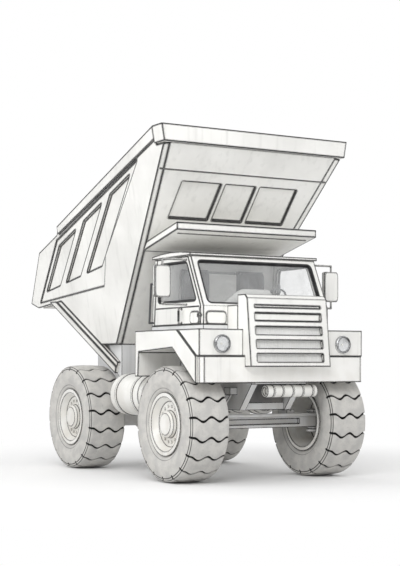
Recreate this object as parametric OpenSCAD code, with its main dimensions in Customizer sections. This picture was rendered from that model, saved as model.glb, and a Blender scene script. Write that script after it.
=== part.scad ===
// Rigid mining dump truck on four wide single tyres, with a tilting bed whose canopy covers the cab.
// X points forward, Y to the left and Z up. The origin is on the ground at the middle of the truck.
// Inside the modules, x is measured from the front axle, forward positive.

/* [Wheels] */
// Tyre diameter out to the tips of the lugs
tyre_d = 1875; // [1825:5:1925]
// Tyre width across the sidewalls
tyre_w = 750; // [720:5:770]
// Outer diameter of the rim flange
rim_d = 1025; // [1000:5:1060]
// Diameter of the hub cap
hub_cap_d = 430; // [400:5:470]
// Distance between the front and rear axles
wheelbase = 3540; // [3480:10:3700]
// Distance between the middle planes of the two tyres on an axle
track = 2670; // [2650:10:2760]

/* [Steering] */
// Distance from a tyre's middle plane in to its kingpin
kingpin_in = 100; // [95:1:110]
// Length of a steering arm, from kingpin to tie rod
arm_len = 190; // [180:1:195]

/* [Frame] */
// Distance between the middles of the two frame rails
rail_gap = 880; // [840:5:890]
// Width of a frame rail
rail_w = 120; // [100:5:130]
// Depth of a frame rail
rail_depth = 450; // [420:5:470]
// Height of the rails' undersides above the hubs
rail_over_hub = 212; // [205:1:230]

/* [Nose] */
// Reach of the radiator shell ahead of the front axle
nose_reach = 1160; // [1120:5:1250]
// Width of the radiator shell
shell_w = 1530; // [1480:10:1560]
// Height of the radiator shell
shell_h = 1145; // [1100:5:1200]
// Width of the bumper
bumper_w = 3130; // [3000:10:3180]
// Height of the bumper
bumper_h = 425; // [400:5:440]
// Outer width across the fenders
fender_w = 3190; // [3100:10:3240]
// Diameter of a headlamp bezel
lamp_d = 290; // [240:5:320]

/* [Cab] */
// Width of the cab
cab_w = 2430; // [2360:10:2480]
// Height from the cab floor to the top of the windscreen frame
cab_h = 1200; // [1150:5:1240]
// Thickness of the cab walls and doors
cab_wall = 80; // [60:5:90]
// Height of the windscreen's sill above the cab floor
sill_h = 380; // [350:5:420]

/* [Bed] */
// Width across the outside of the bed at floor level
bed_w = 2400; // [2350:10:2460]
// Outward lean of the bed sides, in degrees
bed_flare = 9.6; // [8:0.1:10]
// Thickness of the bed walls with their ribs
bed_wall = 110; // [90:5:120]
// Forward lean of the front wall from upright, in degrees
bed_lean = 40.5; // [39:0.5:42]
// Height of the bed's underside above the hubs
bed_over_hub = 1312; // [1290:2:1340]
// Height of the lip above the bed's underside
bed_h = 3465; // [3300:5:3550]
// Reach of the tail behind the rear axle
tail_overhang = 2495; // [2400:5:2600]
// Width of the canopy shelf over the cab
canopy_w = 2750; // [2600:10:2800]

/* [Hidden] */
$fn = 48;
// Steps round each rounded corner of an outline
corner_steps = 4;
// Overrun of every cut past the faces it opens
over = 5;
// Running gap round pins and spindles
pin_gap = 0.3;
// Gap between seated pieces whose faces lean
seat_gap = 0.3;
// Gap round a door and between the bed and what it rests on
door_gap = 6;
// Reach of the half spaces that trim the bed, well past the whole truck
far = 3 * wheelbase;

// Main places
hub_z = tyre_d / 2;
wheel_y = track / 2;
tail_reach = wheelbase + tail_overhang;
front_axle_x = (tail_reach - nose_reach) / 2;
rear_x = -wheelbase;
bed_front_back = 2590;
bed_front = -bed_front_back;

// Wheel values: y runs outward from the tyre's middle plane
rim_flange_t = 26;
rim_seat_drop = 42;
rim_barrel_t = 28;
rim_ring_drop = 75;
rim_half_share = 0.88;
hub_drop = 56;
hub_in = 60;
disc_in = 150;
disc_t = 70;
hub_r = 190;
spindle_r = 85;
spindle_reach = 255;
bore_spare = 5;
cap_t = 40;
rim_half = rim_half_share * tyre_w / 2;
rim_r = rim_d / 2;
seat_r = rim_r - rim_seat_drop;
barrel_r = seat_r - rim_barrel_t;
ring_r = rim_r - rim_ring_drop;
cap_y = tyre_w / 2 - hub_drop;
bead_half = rim_half - rim_flange_t;
tread_half_share = 0.80;
tread_crown = 12;
shoulder_share = 0.90;
bulge_share = 0.42;
bead_bulge = 35;
bead_tuck = 40;
lugs = 18;
lug_h = 62;
groove_w = 46;
groove_swing = 36;
// Columns across the tread: y as a share of its half width, and which way the grooves swing there
tread_columns_shares = [[-1, 1], [-0.5, -1], [0, 1], [0.5, -1], [1, 1]];
lug_pitch = 360 / lugs;
groove_half = atan(groove_w / tyre_d);
swing_turn = atan(2 * groove_swing / tyre_d);

// Front axle values
kingpin_y = wheel_y - kingpin_in;
kingpin_r = 42;
fist_r = 82;
fist_half = 140;
axle_l = 200;
axle_h = 203;
axle_flange = 58;
axle_recess = 55;
axle_recess_half_share = 0.72;
ear_t = 50;
ear_r = 105;
yoke_in = 105;
yoke_t = 42;
yoke_half_l = 130;
ear_gap = 3;
arm_w = 84;
arm_eye_r = 48;
stud_r = 18;
tie_eye_r = 42;
tie_eye_h = 52;
tie_r = 27;
tie_gap = 2;
axle_top = hub_z + axle_h / 2;

// Front strut values
strut_w = 84;
strut_y_share = 0.56;
strut_pad_l = 250;
strut_pad_w = 150;
strut_foot = 50;
strut_pad_h = 95;
strut_spread = 250;
strut_bracket_l = 180;
strut_bracket_w = 140;
strut_bracket_h = 120;
strut_bracket_drop = 80;

// Frame values
rail_y = rail_gap / 2;
rail_out = rail_y + rail_w / 2;
rail_in = rail_y - rail_w / 2;
rail_z = hub_z + rail_over_hub;
rail_top = rail_z + rail_depth;
frame_front = 760;
horn_h = 250;
horn_l = 170;
horn_slope_l = 110;
nose_cut = 360;
pivot_behind = 1050;
pivot_over_hub = 1312;
pivot_r = 60;
pivot_eye_r = 150;
kick_behind = 550;
rear_frame_rise = 270;
rear_frame_ahead = 300;
pivot_x = rear_x - pivot_behind;
pivot_z = hub_z + pivot_over_hub;
frame_back = pivot_x - pivot_eye_r;
cap_over = 22;
cap_disc_t = 14;

// Hoist values: lower pin on the frame, upper pin under the bed
hoist_low_share = 0.8842;
hoist_low_over_hub = 112;
hoist_up_behind = 460;
hoist_up_over_hub = 1462;
hoist_y_off = 140;
hoist_pin_r = 40;
hoist_eye_r = 80;
hoist_eye_w = 80;
hoist_bracket_l = 200;
hoist_bracket_drop = 110;
barrel_od = 210;
rod_od = 120;
barrel_share = 0.74;
gland_l = 70;
gland_over = 16;
rod_neck = 155;
fork_t = 30;
fork_gap = 0.4;
fork_l = 250;
fork_eye_r = 85;
hoist_low = [rear_x + hoist_low_share * (bed_front - rear_x), hub_z + hoist_low_over_hub];
hoist_up = [rear_x - hoist_up_behind, hub_z + hoist_up_over_hub];
hoist_y = rail_out + hoist_y_off;
hoist_len = norm(hoist_up - hoist_low);
hoist_dir = (hoist_up - hoist_low) / hoist_len;
hoist_tilt = atan2(hoist_dir[0], hoist_dir[1]);

// Engine values
engine_l = 1150;
engine_w = 640;
engine_h = 900;
engine_front = 430;
engine_seat_in = 130;
engine_seat_l = 160;
engine_seat_h = 120;

// Cross member values: each row is x from the front axle, length along x and height
cross_l = 180;
cross_h = 260;
mid_cross_ahead = 1640;
wishbone_cross_ahead = 940;
wishbone_cross_x = rear_x + wishbone_cross_ahead;
cross_rows = [
    [engine_front - engine_seat_in, engine_seat_l, engine_seat_h],
    [engine_front - engine_l + engine_seat_in, engine_seat_l, engine_seat_h],
    [rear_x + mid_cross_ahead, cross_l, cross_h],
    [wishbone_cross_x, cross_l, cross_h],
];
nose_beam_l = 100;
nose_beam_drop = 25;
tail_beam_l = 140;
tail_beam_z = 40;
tail_beam_h = 260;

// Air receiver and tank values
receiver_r = 98;
receiver_right = -280;
receiver_left = 690;
receiver_band_l = 26;
receiver_band_over = 7;
receiver_saddle_l = 60;
receiver_saddle_w = 90;
receiver_hang = 12;
receiver_cup_r = 62;
receiver_cup_l = 50;
receiver_band_shares = [0.12, 0.3, 0.5, 0.7, 0.9];
receiver_saddle_shares = [0.4, 0.8];
tank_d = 720;
tank_behind = 1240;
tank_to_tyre = 222.5;
tank_front = -tank_behind;
tank_l = wheelbase - hub_z - tank_to_tyre - tank_behind;
tank_y = 1100;
tank_over_hub = 430;
tank_dome = 60;
tank_band_l = 60;
tank_band_over = 9;
tank_arm_l = 110;
tank_arm_h = 130;
tank_shares = [0.24, 0.76];

// Rear axle and strut values
rear_tube_r = 190;
rear_tube_reach = 40;
banjo_r = 330;
banjo_half = 300;
banjo_flat_half = 110;
rear_strut_off = 70;
rear_strut_r = 60;
rear_pad_l = 150;
rear_pad_over_hub = 210;
rear_strut_h = 370;
rear_bracket_h = 130;
wishbone_w = 100;
wishbone_end = 110;
wishbone_spread = 520;
wishbone_tube_r = 100;
wishbone_tube_w = 520;
wishbone_tube_rise = 80;

// Hitch values
hitch_l = 190;
hitch_w = 240;
hitch_h = 110;
hitch_bore_r = 32;
hitch_bore_in = 85;

// Bumper, radiator shell and bonnet values
bumper_front = 980;
bumper_t = 120;
bumper_over_hub = 662;
bumper_web = 40;
bumper_end = 60;
bumper_z = hub_z + bumper_over_hub;
bumper_top = bumper_z + bumper_h;
bumper_back = bumper_front - bumper_t;
horn_z = rail_top + horn_h;
shell_drop = 170;
shell_z = bumper_top - shell_drop;
shell_top = shell_z + shell_h;
shell_rake = 120;
shell_crown = 60;
shell_wall = 55;
shell_side_l = 270;
shell_slots = 4;
slot_pitch = 215;
slot_h = 125;
slot_first = 80;
slot_w_share = 0.83;
thin_slot_h = 40;
thin_slot_up = 935;
core_t = 90;
core_gap = 40;
core_edge = 60;
bonnet_wall = 50;
bonnet_drop = 160;
shell_back = nose_reach - shell_rake - shell_side_l;

// Fender values
fender_over_hub = 1512.5;
fender_top = hub_z + fender_over_hub;
fender_front = 930;
fender_back = 1125;
fender_lip = 290;
fender_leg_l = 85;
fender_leg_over_hub = 752;
fender_arch_back = 1010;
fender_arch_rear_drop = 350;
fender_arch_front = 130;
fender_front_leg = 10;
fender_band_t = 25;
fender_band_front = 257;
lamp_y = 1165;
lamp_drop = 233;
lamp_bezel_t = 25;
lamp_out = 60;
lens_out = 34;
lens_crown = 14;

// Cab values: x of the faces from the front axle, heights from the cab floor's underside
cab_front_x = 463;
cab_back_x = 1240;
cab_back_rake = 115;
screen_rake = 400;
cab_floor_t = 80;
roof_t = 90;
roof_crown = 40;
roof_over = 36;
screen_edge = 110;
screen_low = 60;
screen_high = 90;
window_round = 75;
glass_t = 12;
pad_t = 15;
pad_h = 290;
pad_round = 70;
pad_gap = 25;
door_pad_back = 60;
rear_window_w_share = 0.62;
rear_window_low_share = 0.42;
rear_window_high_share = 0.86;
door_window_edge = 105;
door_window_front = 90;
door_window_low = 470;
door_window_high = 95;
hinge_r = 15;
hinge_pin_r = 10;
hinge_out = 8;
hinge_behind = 16;
hinge_lug_h = 24;
hinge_lug_gap = 6;
hinge_end = 30;
hinge_lug_l = 34;
cab_z = fender_top;
cab_in_z = cab_z + cab_floor_t;
cab_top = cab_z + cab_h;
cab_y = cab_w / 2;
sill_z = cab_z + sill_h;
screen_angle = atan2(screen_rake, cab_top - sill_z);
screen_len = norm([screen_rake, cab_top - sill_z]);
cab_wall_x = cab_wall / cos(screen_angle);
back_angle = atan2(cab_back_rake, cab_h);

// Cab furniture values
dash_l = 260;
dash_h = 330;
dash_lip = 90;
dash_hump_w = 620;
dash_hump_h = 90;
dash_hump_y = 60;
wheel_rim_d = 440;
wheel_rim_t = 34;
wheel_hub_r = 55;
wheel_seat_y = 560;
column_r = 26;
column_tilt = 35;
column_len = 330;
column_rise = 270;
seat_w = 520;
seat_l = 500;
seat_y = 560;
seat_front = 420;
pedestal_w = 300;
pedestal_h = 250;
pan_h = 30;
cushion_h = 130;
back_h = 560;
back_t = 110;
back_frame_t = 40;
rail_tube_r = 18;
grab_out = 75;
grab_low = 60;
grab_high_share = 0.66;
handle_back = 225;
handle_low = 110;
handle_high = 350;
handle_r = 14;
handle_out = 60;
mirror_x = 60;
mirror_in = 305;
mirror_w = 290;
mirror_h = 520;
mirror_t = 60;
mirror_round = 45;
mirror_low = 520;
mirror_arm_low = 410;
mirror_arm_drop = 62;

// Bed values: x of each outline point from the axles, heights from the bed's underside
level_l = 580;
slope_behind = 1070;
slope_rise = 845;
tail_foot_share = 0.87;
tail_foot_rise = 750;
tail_tip_rise = 850;
tail_top_behind = 1745;
tail_top_rise = 1810;
step_behind = 715;
step_rise = 2230;
step_drop = 150;
step_l = 110;
lip_h = 280;
lip_l = 330;
lip_over = 60;
lip_out = 30;
rail_band = 210;
rail_band_end_share = 0.7;
floor_t = 110;
panel_depth = 45;
panel_count = 3;
panel_lean = 47;
panel_first_behind = 354;
panel_pitch = 800;
panel_w = 560;
panel_low_rise = 950;
panel_low_slope_share = 0.135;
panel_edge = 110;
field_depth = 22;
field_tail_in = 435;
field_tail_rise = 850;
field_foot_back = 128;
field_foot_rise = 1043;
field_knee_back = 1250;
field_knee_rise = 1570;
field_front_back = 820;
field_front_rise = 3028;
field_top_back = 165;
field_top_rise = 1980;
front_panel_depth = 40;
front_panel_low_share = 0.655;
front_panel_high_share = 0.83;
front_panel_rows_shares = [[-0.95, -0.32], [-0.25, 0.25], [0.32, 0.95]];
canopy_front = 95;
canopy_rise = 1950;
canopy_t = 125;
canopy_slope = 13;
beam_w = 160;
beam_depth = 290;
beam_over_tyre = 301;
bolster_l = 170;
bolster_gap = 40;
lug_t = 80;
lug_gap = 6;
lug_half = 210;
bed_z = hub_z + bed_over_hub;
bed_top = bed_z + bed_h;
bed_y = bed_w / 2;
bed_wall_x = bed_wall / cos(bed_lean);
level_end = bed_front - level_l;
slope_end = rear_x - slope_behind;
slope_z = bed_z + slope_rise;
tail_x = rear_x - tail_overhang;
tail_foot_x = rear_x - tail_foot_share * tail_overhang;
tail_foot_z = bed_z + tail_foot_rise;
lip_z = bed_top - lip_h;
lip_front = wall_x(lip_z) + lip_over;
lip_back = lip_front - lip_l;
step_x = rear_x - step_behind;
tail_top_x = rear_x - tail_top_behind;

paint = "white";
frame_grey = "#8d9296";
dark = "#3a3d40";
rubber = "#2c2d2e";
steel = "#c3c6c8";
clear = "#b8d0d8";
cushion_grey = "#5b5f63";

// Shared shapes

module from_front_axle() {
    translate([front_axle_x, 0, 0]) children();
}

module both_sides() {
    children();
    mirror([0, 1, 0]) children();
}

// Right-hand pieces are the left-hand ones mirrored
module on_side(right) {
    mirror([0, right ? 1 : 0, 0]) children();
}

// Extrudes a side outline, drawn in x and z, between two y values
module across(y0, y1) {
    translate([0, y1, 0]) rotate([90, 0, 0]) linear_extrude(y1 - y0) children();
}

module block(x0, x1, y0, y1, z0, z1) {
    translate([x0, y0, z0]) cube([x1 - x0, y1 - y0, z1 - z0]);
}

// Extrudes a plan outline upward from a height
module raised(z, h) {
    translate([0, 0, z]) linear_extrude(h) children();
}

// Round bar along y
module bar_y(r, y0, y1) {
    translate([0, y0, 0]) rotate([-90, 0, 0]) cylinder(r = r, h = y1 - y0);
}

// Round bar along x
module bar_x(r, x0, x1) {
    translate([x0, 0, 0]) rotate([0, 90, 0]) cylinder(r = r, h = x1 - x0);
}

// Round bar between two points
module bar(a, b, r) {
    d = b - a;
    translate(a) rotate([0, acos(d[2] / norm(d)), atan2(d[1], d[0])]) cylinder(r = r, h = norm(d));
}

// Square bar between two points
module square_bar(a, b, w) {
    d = b - a;
    translate(a) rotate([0, acos(d[2] / norm(d)), atan2(d[1], d[0])])
        translate([-w / 2, -w / 2, 0]) cube([w, w, norm(d)]);
}

// Extrudes an outline, drawn in y and z, between two x values
module facing_x(x0, x1) {
    translate([x0, 0, 0]) rotate([90, 0, 90]) linear_extrude(x1 - x0) children();
}

// Outline with each corner rounded off from a distance along both of its edges
function rounded(p, reach) = [
    for (i = [0 : len(p) - 1])
        let (b = p[i], a = p[(i + len(p) - 1) % len(p)], c = p[(i + 1) % len(p)])
            for (k = [0 : corner_steps])
                let (t = k / corner_steps, u = (a - b) / norm(a - b), v = (c - b) / norm(c - b))
                    b + reach * ((1 - t) * (1 - t) * u + t * t * v)
];

module rounded_oblong(x0, x1, z0, z1, reach) {
    polygon(rounded([[x0, z0], [x1, z0], [x1, z1], [x0, z1]], reach));
}

// Turns a profile of radius and y about the y axis
module turned_y() {
    rotate([-90, 0, 0]) rotate_extrude($fn = 96) children();
}

// Turns a profile of radius and x about the x axis
module turned_x() {
    rotate([0, 90, 0]) rotate_extrude($fn = 64) children();
}

// Chassis

module rail_outline() {
    polygon([
        [frame_front - nose_cut, rail_z],
        [frame_front, rail_top - nose_beam_drop],
        [frame_front, horn_z],
        [frame_front - horn_l, horn_z],
        [frame_front - horn_l - horn_slope_l, rail_top],
        [bed_front - kick_behind, rail_top],
        [pivot_x, pivot_z + pivot_eye_r],
        [pivot_x, pivot_z],
        [frame_back, pivot_z],
        [frame_back, rail_z + rear_frame_rise],
        [rear_x - rear_frame_ahead, rail_z],
    ]);
    translate([pivot_x, pivot_z]) circle(r = pivot_eye_r);
    translate([hoist_low[0] - hoist_bracket_l / 2, hoist_low[1] - hoist_bracket_drop])
        square([hoist_bracket_l, rail_top - hoist_low[1]]);
}

module pin_with_cap(r, reach) {
    bar_y(r, rail_y, rail_out + reach);
    bar_y(r + cap_over, rail_out + reach, rail_out + reach + cap_disc_t);
}

module frame_rails() {
    color(frame_grey) from_front_axle() both_sides() {
        across(rail_in, rail_out) rail_outline();
        translate([pivot_x, 0, pivot_z]) pin_with_cap(pivot_r, lug_gap + lug_t + pin_gap);
        translate([hoist_low[0], 0, hoist_low[1]])
            pin_with_cap(hoist_pin_r, hoist_y_off + hoist_eye_w / 2 + pin_gap);
    }
}

module cross_members() {
    color(frame_grey) from_front_axle() {
        for (row = cross_rows)
            block(row[0] - row[1] / 2, row[0] + row[1] / 2, -rail_in, rail_in, rail_z, rail_z + row[2]);
        block(frame_front, frame_front + nose_beam_l, -rail_out, rail_out,
            rail_top - nose_beam_drop, horn_z);
        block(frame_back, frame_back + tail_beam_l, -rail_in, rail_in,
            rail_z + rear_frame_rise + tail_beam_z, rail_z + rear_frame_rise + tail_beam_z + tail_beam_h);
    }
}

module front_axle() {
    recess_half = axle_recess_half_share * kingpin_y;
    color(frame_grey) from_front_axle() difference() {
        union() {
            block(-axle_l / 2, axle_l / 2, -kingpin_y, kingpin_y, hub_z - axle_h / 2, axle_top);
            both_sides() translate([0, kingpin_y, hub_z - fist_half]) cylinder(r = fist_r, h = 2 * fist_half);
        }
        both_sides() translate([0, kingpin_y, 0]) {
            translate([0, 0, hub_z - fist_half - over])
                cylinder(r = kingpin_r + pin_gap, h = 2 * (fist_half + over));
            difference() {
                block(-axle_l, axle_l, 0, axle_l, 0, 2 * hub_z);
                cylinder(r = fist_r, h = 2 * hub_z);
            }
        }
        for (face = [-1, 1])
            translate([face * axle_l / 2, 0, hub_z])
                cube([2 * axle_recess, 2 * recess_half, axle_h - 2 * axle_flange], center = true);
    }
}

module front_struts() {
    strut_y = strut_y_share * kingpin_y;
    bracket_z = rail_top - strut_bracket_drop - strut_bracket_h;
    color(frame_grey) from_front_axle() both_sides() {
        translate([-strut_pad_l / 2, strut_y - strut_pad_w / 2, axle_top])
            cube([strut_pad_l, strut_pad_w, strut_pad_h]);
        for (fore = [-1, 1]) {
            foot = [fore * strut_foot, strut_y, axle_top + strut_pad_h / 2];
            head = [fore * strut_spread, rail_out + strut_bracket_w / 2, bracket_z + strut_bracket_h / 2];
            square_bar(foot, head, strut_w);
            translate([fore * strut_spread - strut_bracket_l / 2, rail_out, bracket_z])
                cube([strut_bracket_l, strut_bracket_w, strut_bracket_h]);
        }
    }
}

// Axle casing, swollen round the final drive and stepped down to a spindle at each end
module rear_housing() {
    tube_y = wheel_y + rear_tube_reach;
    half = [
        [0, wheel_y + spindle_reach],
        [spindle_r, wheel_y + spindle_reach],
        [spindle_r, tube_y],
        [rear_tube_r, tube_y],
        [rear_tube_r, banjo_half],
        [banjo_r, banjo_flat_half],
    ];
    last = len(half) - 1;
    turned_y() polygon(concat(half, [for (i = [0 : last]) [half[last - i][0], -half[last - i][1]]]));
}

module rear_axle() {
    strut_y = rail_out + rear_strut_off;
    tube_x = wishbone_cross_x - cross_l / 2 - wishbone_tube_r;
    tube_z = rail_z + wishbone_tube_rise;
    color(frame_grey) from_front_axle() union() {
        translate([rear_x, 0, hub_z]) {
            rear_housing();
            both_sides() translate([-rear_pad_l / 2, strut_y - rear_pad_l / 2, 0])
                cube([rear_pad_l, rear_pad_l, rear_pad_over_hub]);
        }
        for (side = [-1, 1])
            square_bar([rear_x, side * wishbone_spread, hub_z],
                [tube_x, side * wishbone_end, tube_z], wishbone_w);
        translate([tube_x, 0, tube_z]) bar_y(wishbone_tube_r, -wishbone_tube_w / 2, wishbone_tube_w / 2);
    }
}

module rear_struts() {
    strut_y = rail_out + rear_strut_off;
    foot_z = hub_z + rear_pad_over_hub;
    color(steel) from_front_axle() both_sides() {
        translate([rear_x, strut_y, foot_z]) cylinder(r = rear_strut_r, h = rear_strut_h);
        translate([rear_x - rear_strut_r, rail_out, foot_z + rear_strut_h - rear_bracket_h])
            cube([2 * rear_strut_r, rear_strut_off + rear_strut_r, rear_bracket_h]);
    }
}

module engine() {
    engine_z = rail_z + engine_seat_h;
    color(dark) from_front_axle()
        block(engine_front - engine_l, engine_front, -engine_w / 2, engine_w / 2,
            engine_z, engine_z + engine_h);
}

module rear_hitch() {
    hitch_z = rail_z + rear_frame_rise + tail_beam_z + (tail_beam_h - hitch_h) / 2;
    color(dark) from_front_axle() difference() {
        block(frame_back - hitch_l, frame_back, -hitch_w / 2, hitch_w / 2, hitch_z, hitch_z + hitch_h);
        translate([frame_back - hitch_l + hitch_bore_in, 0, hitch_z - over])
            cylinder(r = hitch_bore_r, h = hitch_h + 2 * over);
    }
}

module bumper() {
    color(paint) from_front_axle() difference() {
        raised(bumper_z, bumper_h) polygon([
            [bumper_back, -bumper_w / 2],
            [bumper_front - bumper_end, -bumper_w / 2],
            [bumper_front, -bumper_w / 2 + bumper_end],
            [bumper_front, bumper_w / 2 - bumper_end],
            [bumper_front - bumper_end, bumper_w / 2],
            [bumper_back, bumper_w / 2],
        ]);
        both_sides() block(bumper_back - over, bumper_front - bumper_web, rail_out + bumper_end,
            bumper_w / 2 - bumper_end, bumper_z + bumper_web, bumper_top - bumper_web);
    }
}

// Banded transverse tube that hangs under the nose beam, one end open
module air_receiver() {
    length = receiver_left - receiver_right;
    receiver_x = frame_front + nose_beam_l / 2;
    receiver_z = rail_top - nose_beam_drop - receiver_hang - receiver_r;
    color(steel) from_front_axle() difference() {
        union() {
            translate([receiver_x, 0, receiver_z]) {
                bar_y(receiver_r, receiver_right, receiver_left);
                for (share = receiver_band_shares)
                    translate([0, receiver_right + share * length, 0])
                        bar_y(receiver_r + receiver_band_over, 0, receiver_band_l);
            }
            for (share = receiver_saddle_shares)
                block(receiver_x - receiver_saddle_l / 2, receiver_x + receiver_saddle_l / 2,
                    receiver_right + share * length - receiver_saddle_w,
                    receiver_right + share * length, receiver_z, rail_top - nose_beam_drop);
        }
        translate([receiver_x, 0, receiver_z])
            bar_y(receiver_cup_r, receiver_right - over, receiver_right + receiver_cup_l);
    }
}

module tanks() {
    tank_z = hub_z + tank_over_hub;
    tank_r = tank_d / 2;
    color(paint) from_front_axle() both_sides() {
        translate([tank_front - tank_l, tank_y, tank_z]) {
            turned_x() polygon([
                [0, 0], [tank_r - tank_dome, 0], [tank_r, tank_dome],
                [tank_r, tank_l - tank_dome], [tank_r - tank_dome, tank_l], [0, tank_l],
            ]);
            for (share = tank_shares)
                bar_x(tank_r + tank_band_over,
                    share * tank_l - tank_band_l / 2, share * tank_l + tank_band_l / 2);
        }
        for (share = tank_shares)
            block(tank_front - share * tank_l - tank_arm_l / 2, tank_front - share * tank_l + tank_arm_l / 2,
                rail_out, tank_y, tank_z - tank_arm_h / 2, tank_z + tank_arm_h / 2);
    }
}

// Nose

module shell_outline(inset) {
    polygon([
        [bumper_front + inset, shell_z + inset],
        [nose_reach - inset, shell_z + inset],
        [nose_reach - shell_rake - inset, shell_top - shell_crown - inset],
        [nose_reach - shell_rake - shell_crown - inset, shell_top - inset],
        [shell_back, shell_top - inset],
        [shell_back, bumper_top + inset],
        [bumper_front + inset, bumper_top + inset],
    ]);
}

module radiator_shell() {
    half = shell_w / 2;
    slot_half = slot_w_share * half;
    color(paint) from_front_axle() difference() {
        across(-half, half) shell_outline(0);
        across(shell_wall - half, half - shell_wall) shell_outline(shell_wall);
        block(shell_back - over, shell_back + over, shell_wall - half, half - shell_wall,
            bumper_top + shell_wall, shell_top - shell_wall);
        for (i = [0 : shell_slots - 1])
            block(bumper_front + shell_wall, nose_reach + over, -slot_half, slot_half,
                shell_z + slot_first + i * slot_pitch, shell_z + slot_first + i * slot_pitch + slot_h);
        block(bumper_front + shell_wall, nose_reach + over, -slot_half, slot_half,
            shell_z + thin_slot_up, shell_z + thin_slot_up + thin_slot_h);
    }
}

module radiator_core() {
    core_half = shell_w / 2 - shell_wall;
    core_x = shell_back + core_gap;
    color(dark) from_front_axle()
        block(core_x, core_x + core_t, -core_half, core_half,
            bumper_top + shell_wall, shell_top - shell_wall - core_edge);
}

// Cover from the radiator shell back to the cab, open below
module bonnet() {
    half = shell_w / 2;
    top = shell_top - bonnet_drop;
    color(paint) from_front_axle() difference() {
        block(cab_front_x, shell_back, -half, half, bumper_top, top);
        block(cab_front_x - over, shell_back + over, bonnet_wall - half, half - bonnet_wall,
            bumper_top - over, top - bonnet_wall);
    }
}

// Side outline of a fender; its top reaches forward to a given place
module fender_outline(nose, top_front) {
    leg_z = hub_z + fender_leg_over_hub;
    polygon(concat([[bumper_back, bumper_z], [bumper_back, bumper_top]], nose, [
        [top_front, fender_top],
        [-fender_back, fender_top],
        [-fender_back, leg_z],
        [fender_leg_l - fender_back, leg_z],
        [-fender_arch_back, fender_top - fender_arch_rear_drop],
        [fender_arch_front, fender_top - fender_lip],
        [bumper_back - fender_front_leg, bumper_z],
    ]));
}

// Box over each front wheel with the headlamp in its nose, and a raised band round the wheel arch
module fenders() {
    outer = fender_w / 2;
    color(paint) from_front_axle() both_sides() {
        across(shell_w / 2, outer - fender_band_t)
            fender_outline([[fender_front, bumper_top]], fender_front);
        across(outer - fender_band_t - over, outer) fender_outline([], fender_band_front);
    }
}

module headlamp_bezels() {
    r = lamp_d / 2;
    color(steel) from_front_axle() both_sides() translate([fender_front, lamp_y, fender_top - lamp_drop])
        turned_x() polygon([
            [r - lamp_bezel_t, 0], [r, 0], [r, lamp_out - lens_crown], [r - lens_crown, lamp_out],
            [r - lamp_bezel_t, lamp_out],
        ]);
}

module headlamp_lenses() {
    r = lamp_d / 2 - lamp_bezel_t - pin_gap;
    color(clear) from_front_axle() both_sides() translate([fender_front, lamp_y, fender_top - lamp_drop])
        turned_x() polygon([
            [0, 0], [r, 0], [r, lens_out], [r / 2, lens_out + lens_crown], [0, lens_out + lens_crown],
        ]);
}

// Cab

// Forward face of the cab at a height above the sill, following the windscreen's rake
function screen_x(z) = cab_front_x - max(0, z - sill_z) * tan(screen_angle);
// Rear face of the cab at any height
function back_x(z) = -cab_back_x + (z - cab_z) * tan(back_angle);

module cab_floor() {
    color(frame_grey) from_front_axle()
        block(-cab_back_x, cab_front_x, -cab_y, cab_y, cab_z, cab_in_z);
}

// Lays a shape in the windscreen's plane: local x outward, local z up the slope from the sill
module in_screen_plane() {
    translate([cab_front_x, 0, sill_z]) rotate([0, -screen_angle, 0]) children();
}

module screen_panel(t0, t1) {
    half = cab_y - screen_edge;
    in_screen_plane() facing_x(t0, t1)
        rounded_oblong(-half, half, screen_low, screen_len - screen_high, window_round);
}

module hinge_pins() {
    pin_x = cab_front_x - cab_wall - hinge_behind;
    pin_y = cab_y + hinge_out;
    low = cab_in_z + hinge_end;
    high = sill_z - hinge_end;
    lug_z = (low + high - hinge_lug_h) / 2;
    translate([pin_x, pin_y, low]) cylinder(r = hinge_pin_r, h = high - low);
    block(pin_x - hinge_r, cab_front_x - cab_wall + hinge_lug_l, cab_y + pin_gap, pin_y + hinge_r,
        lug_z, lug_z + hinge_lug_h);
    block(cab_front_x - cab_wall + door_gap, cab_front_x - cab_wall + hinge_lug_l,
        cab_y - hinge_r, pin_y + hinge_r, lug_z, lug_z + hinge_lug_h);
}

module cab_front() {
    color(paint) from_front_axle() difference() {
        union() {
            across(-cab_y, cab_y) polygon([
                [cab_front_x, cab_in_z],
                [cab_front_x, sill_z],
                [cab_front_x - screen_rake, cab_top],
                [cab_front_x - screen_rake - cab_wall_x, cab_top],
                [cab_front_x - cab_wall, sill_z],
                [cab_front_x - cab_wall, cab_in_z],
            ]);
            both_sides() {
                hinge_pins();
                facing_x(cab_front_x - over, cab_front_x + pad_t) rounded_oblong(shell_w / 2 + pad_gap,
                    cab_y - 2 * pad_gap, cab_in_z + door_gap, cab_z + pad_h, pad_round);
            }
        }
        screen_panel(-2 * cab_wall, cab_wall);
    }
}

// Lays a shape in the back wall's plane: local x inward, local z up the slope from the floor
module in_back_plane() {
    translate([-cab_back_x, 0, cab_z]) rotate([0, back_angle, 0]) children();
}

module rear_window(t0, t1) {
    half = rear_window_w_share * cab_y;
    slope_h = cab_h / cos(back_angle);
    in_back_plane() facing_x(t0, t1) rounded_oblong(-half, half,
        rear_window_low_share * slope_h, rear_window_high_share * slope_h, window_round);
}

module cab_back() {
    color(paint) from_front_axle() difference() {
        across(-cab_y, cab_y) polygon([
            [back_x(cab_in_z), cab_in_z],
            [back_x(cab_top), cab_top],
            [back_x(cab_top) + cab_wall, cab_top],
            [back_x(cab_in_z) + cab_wall, cab_in_z],
        ]);
        rear_window(-over, cab_wall + over);
    }
}

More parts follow.
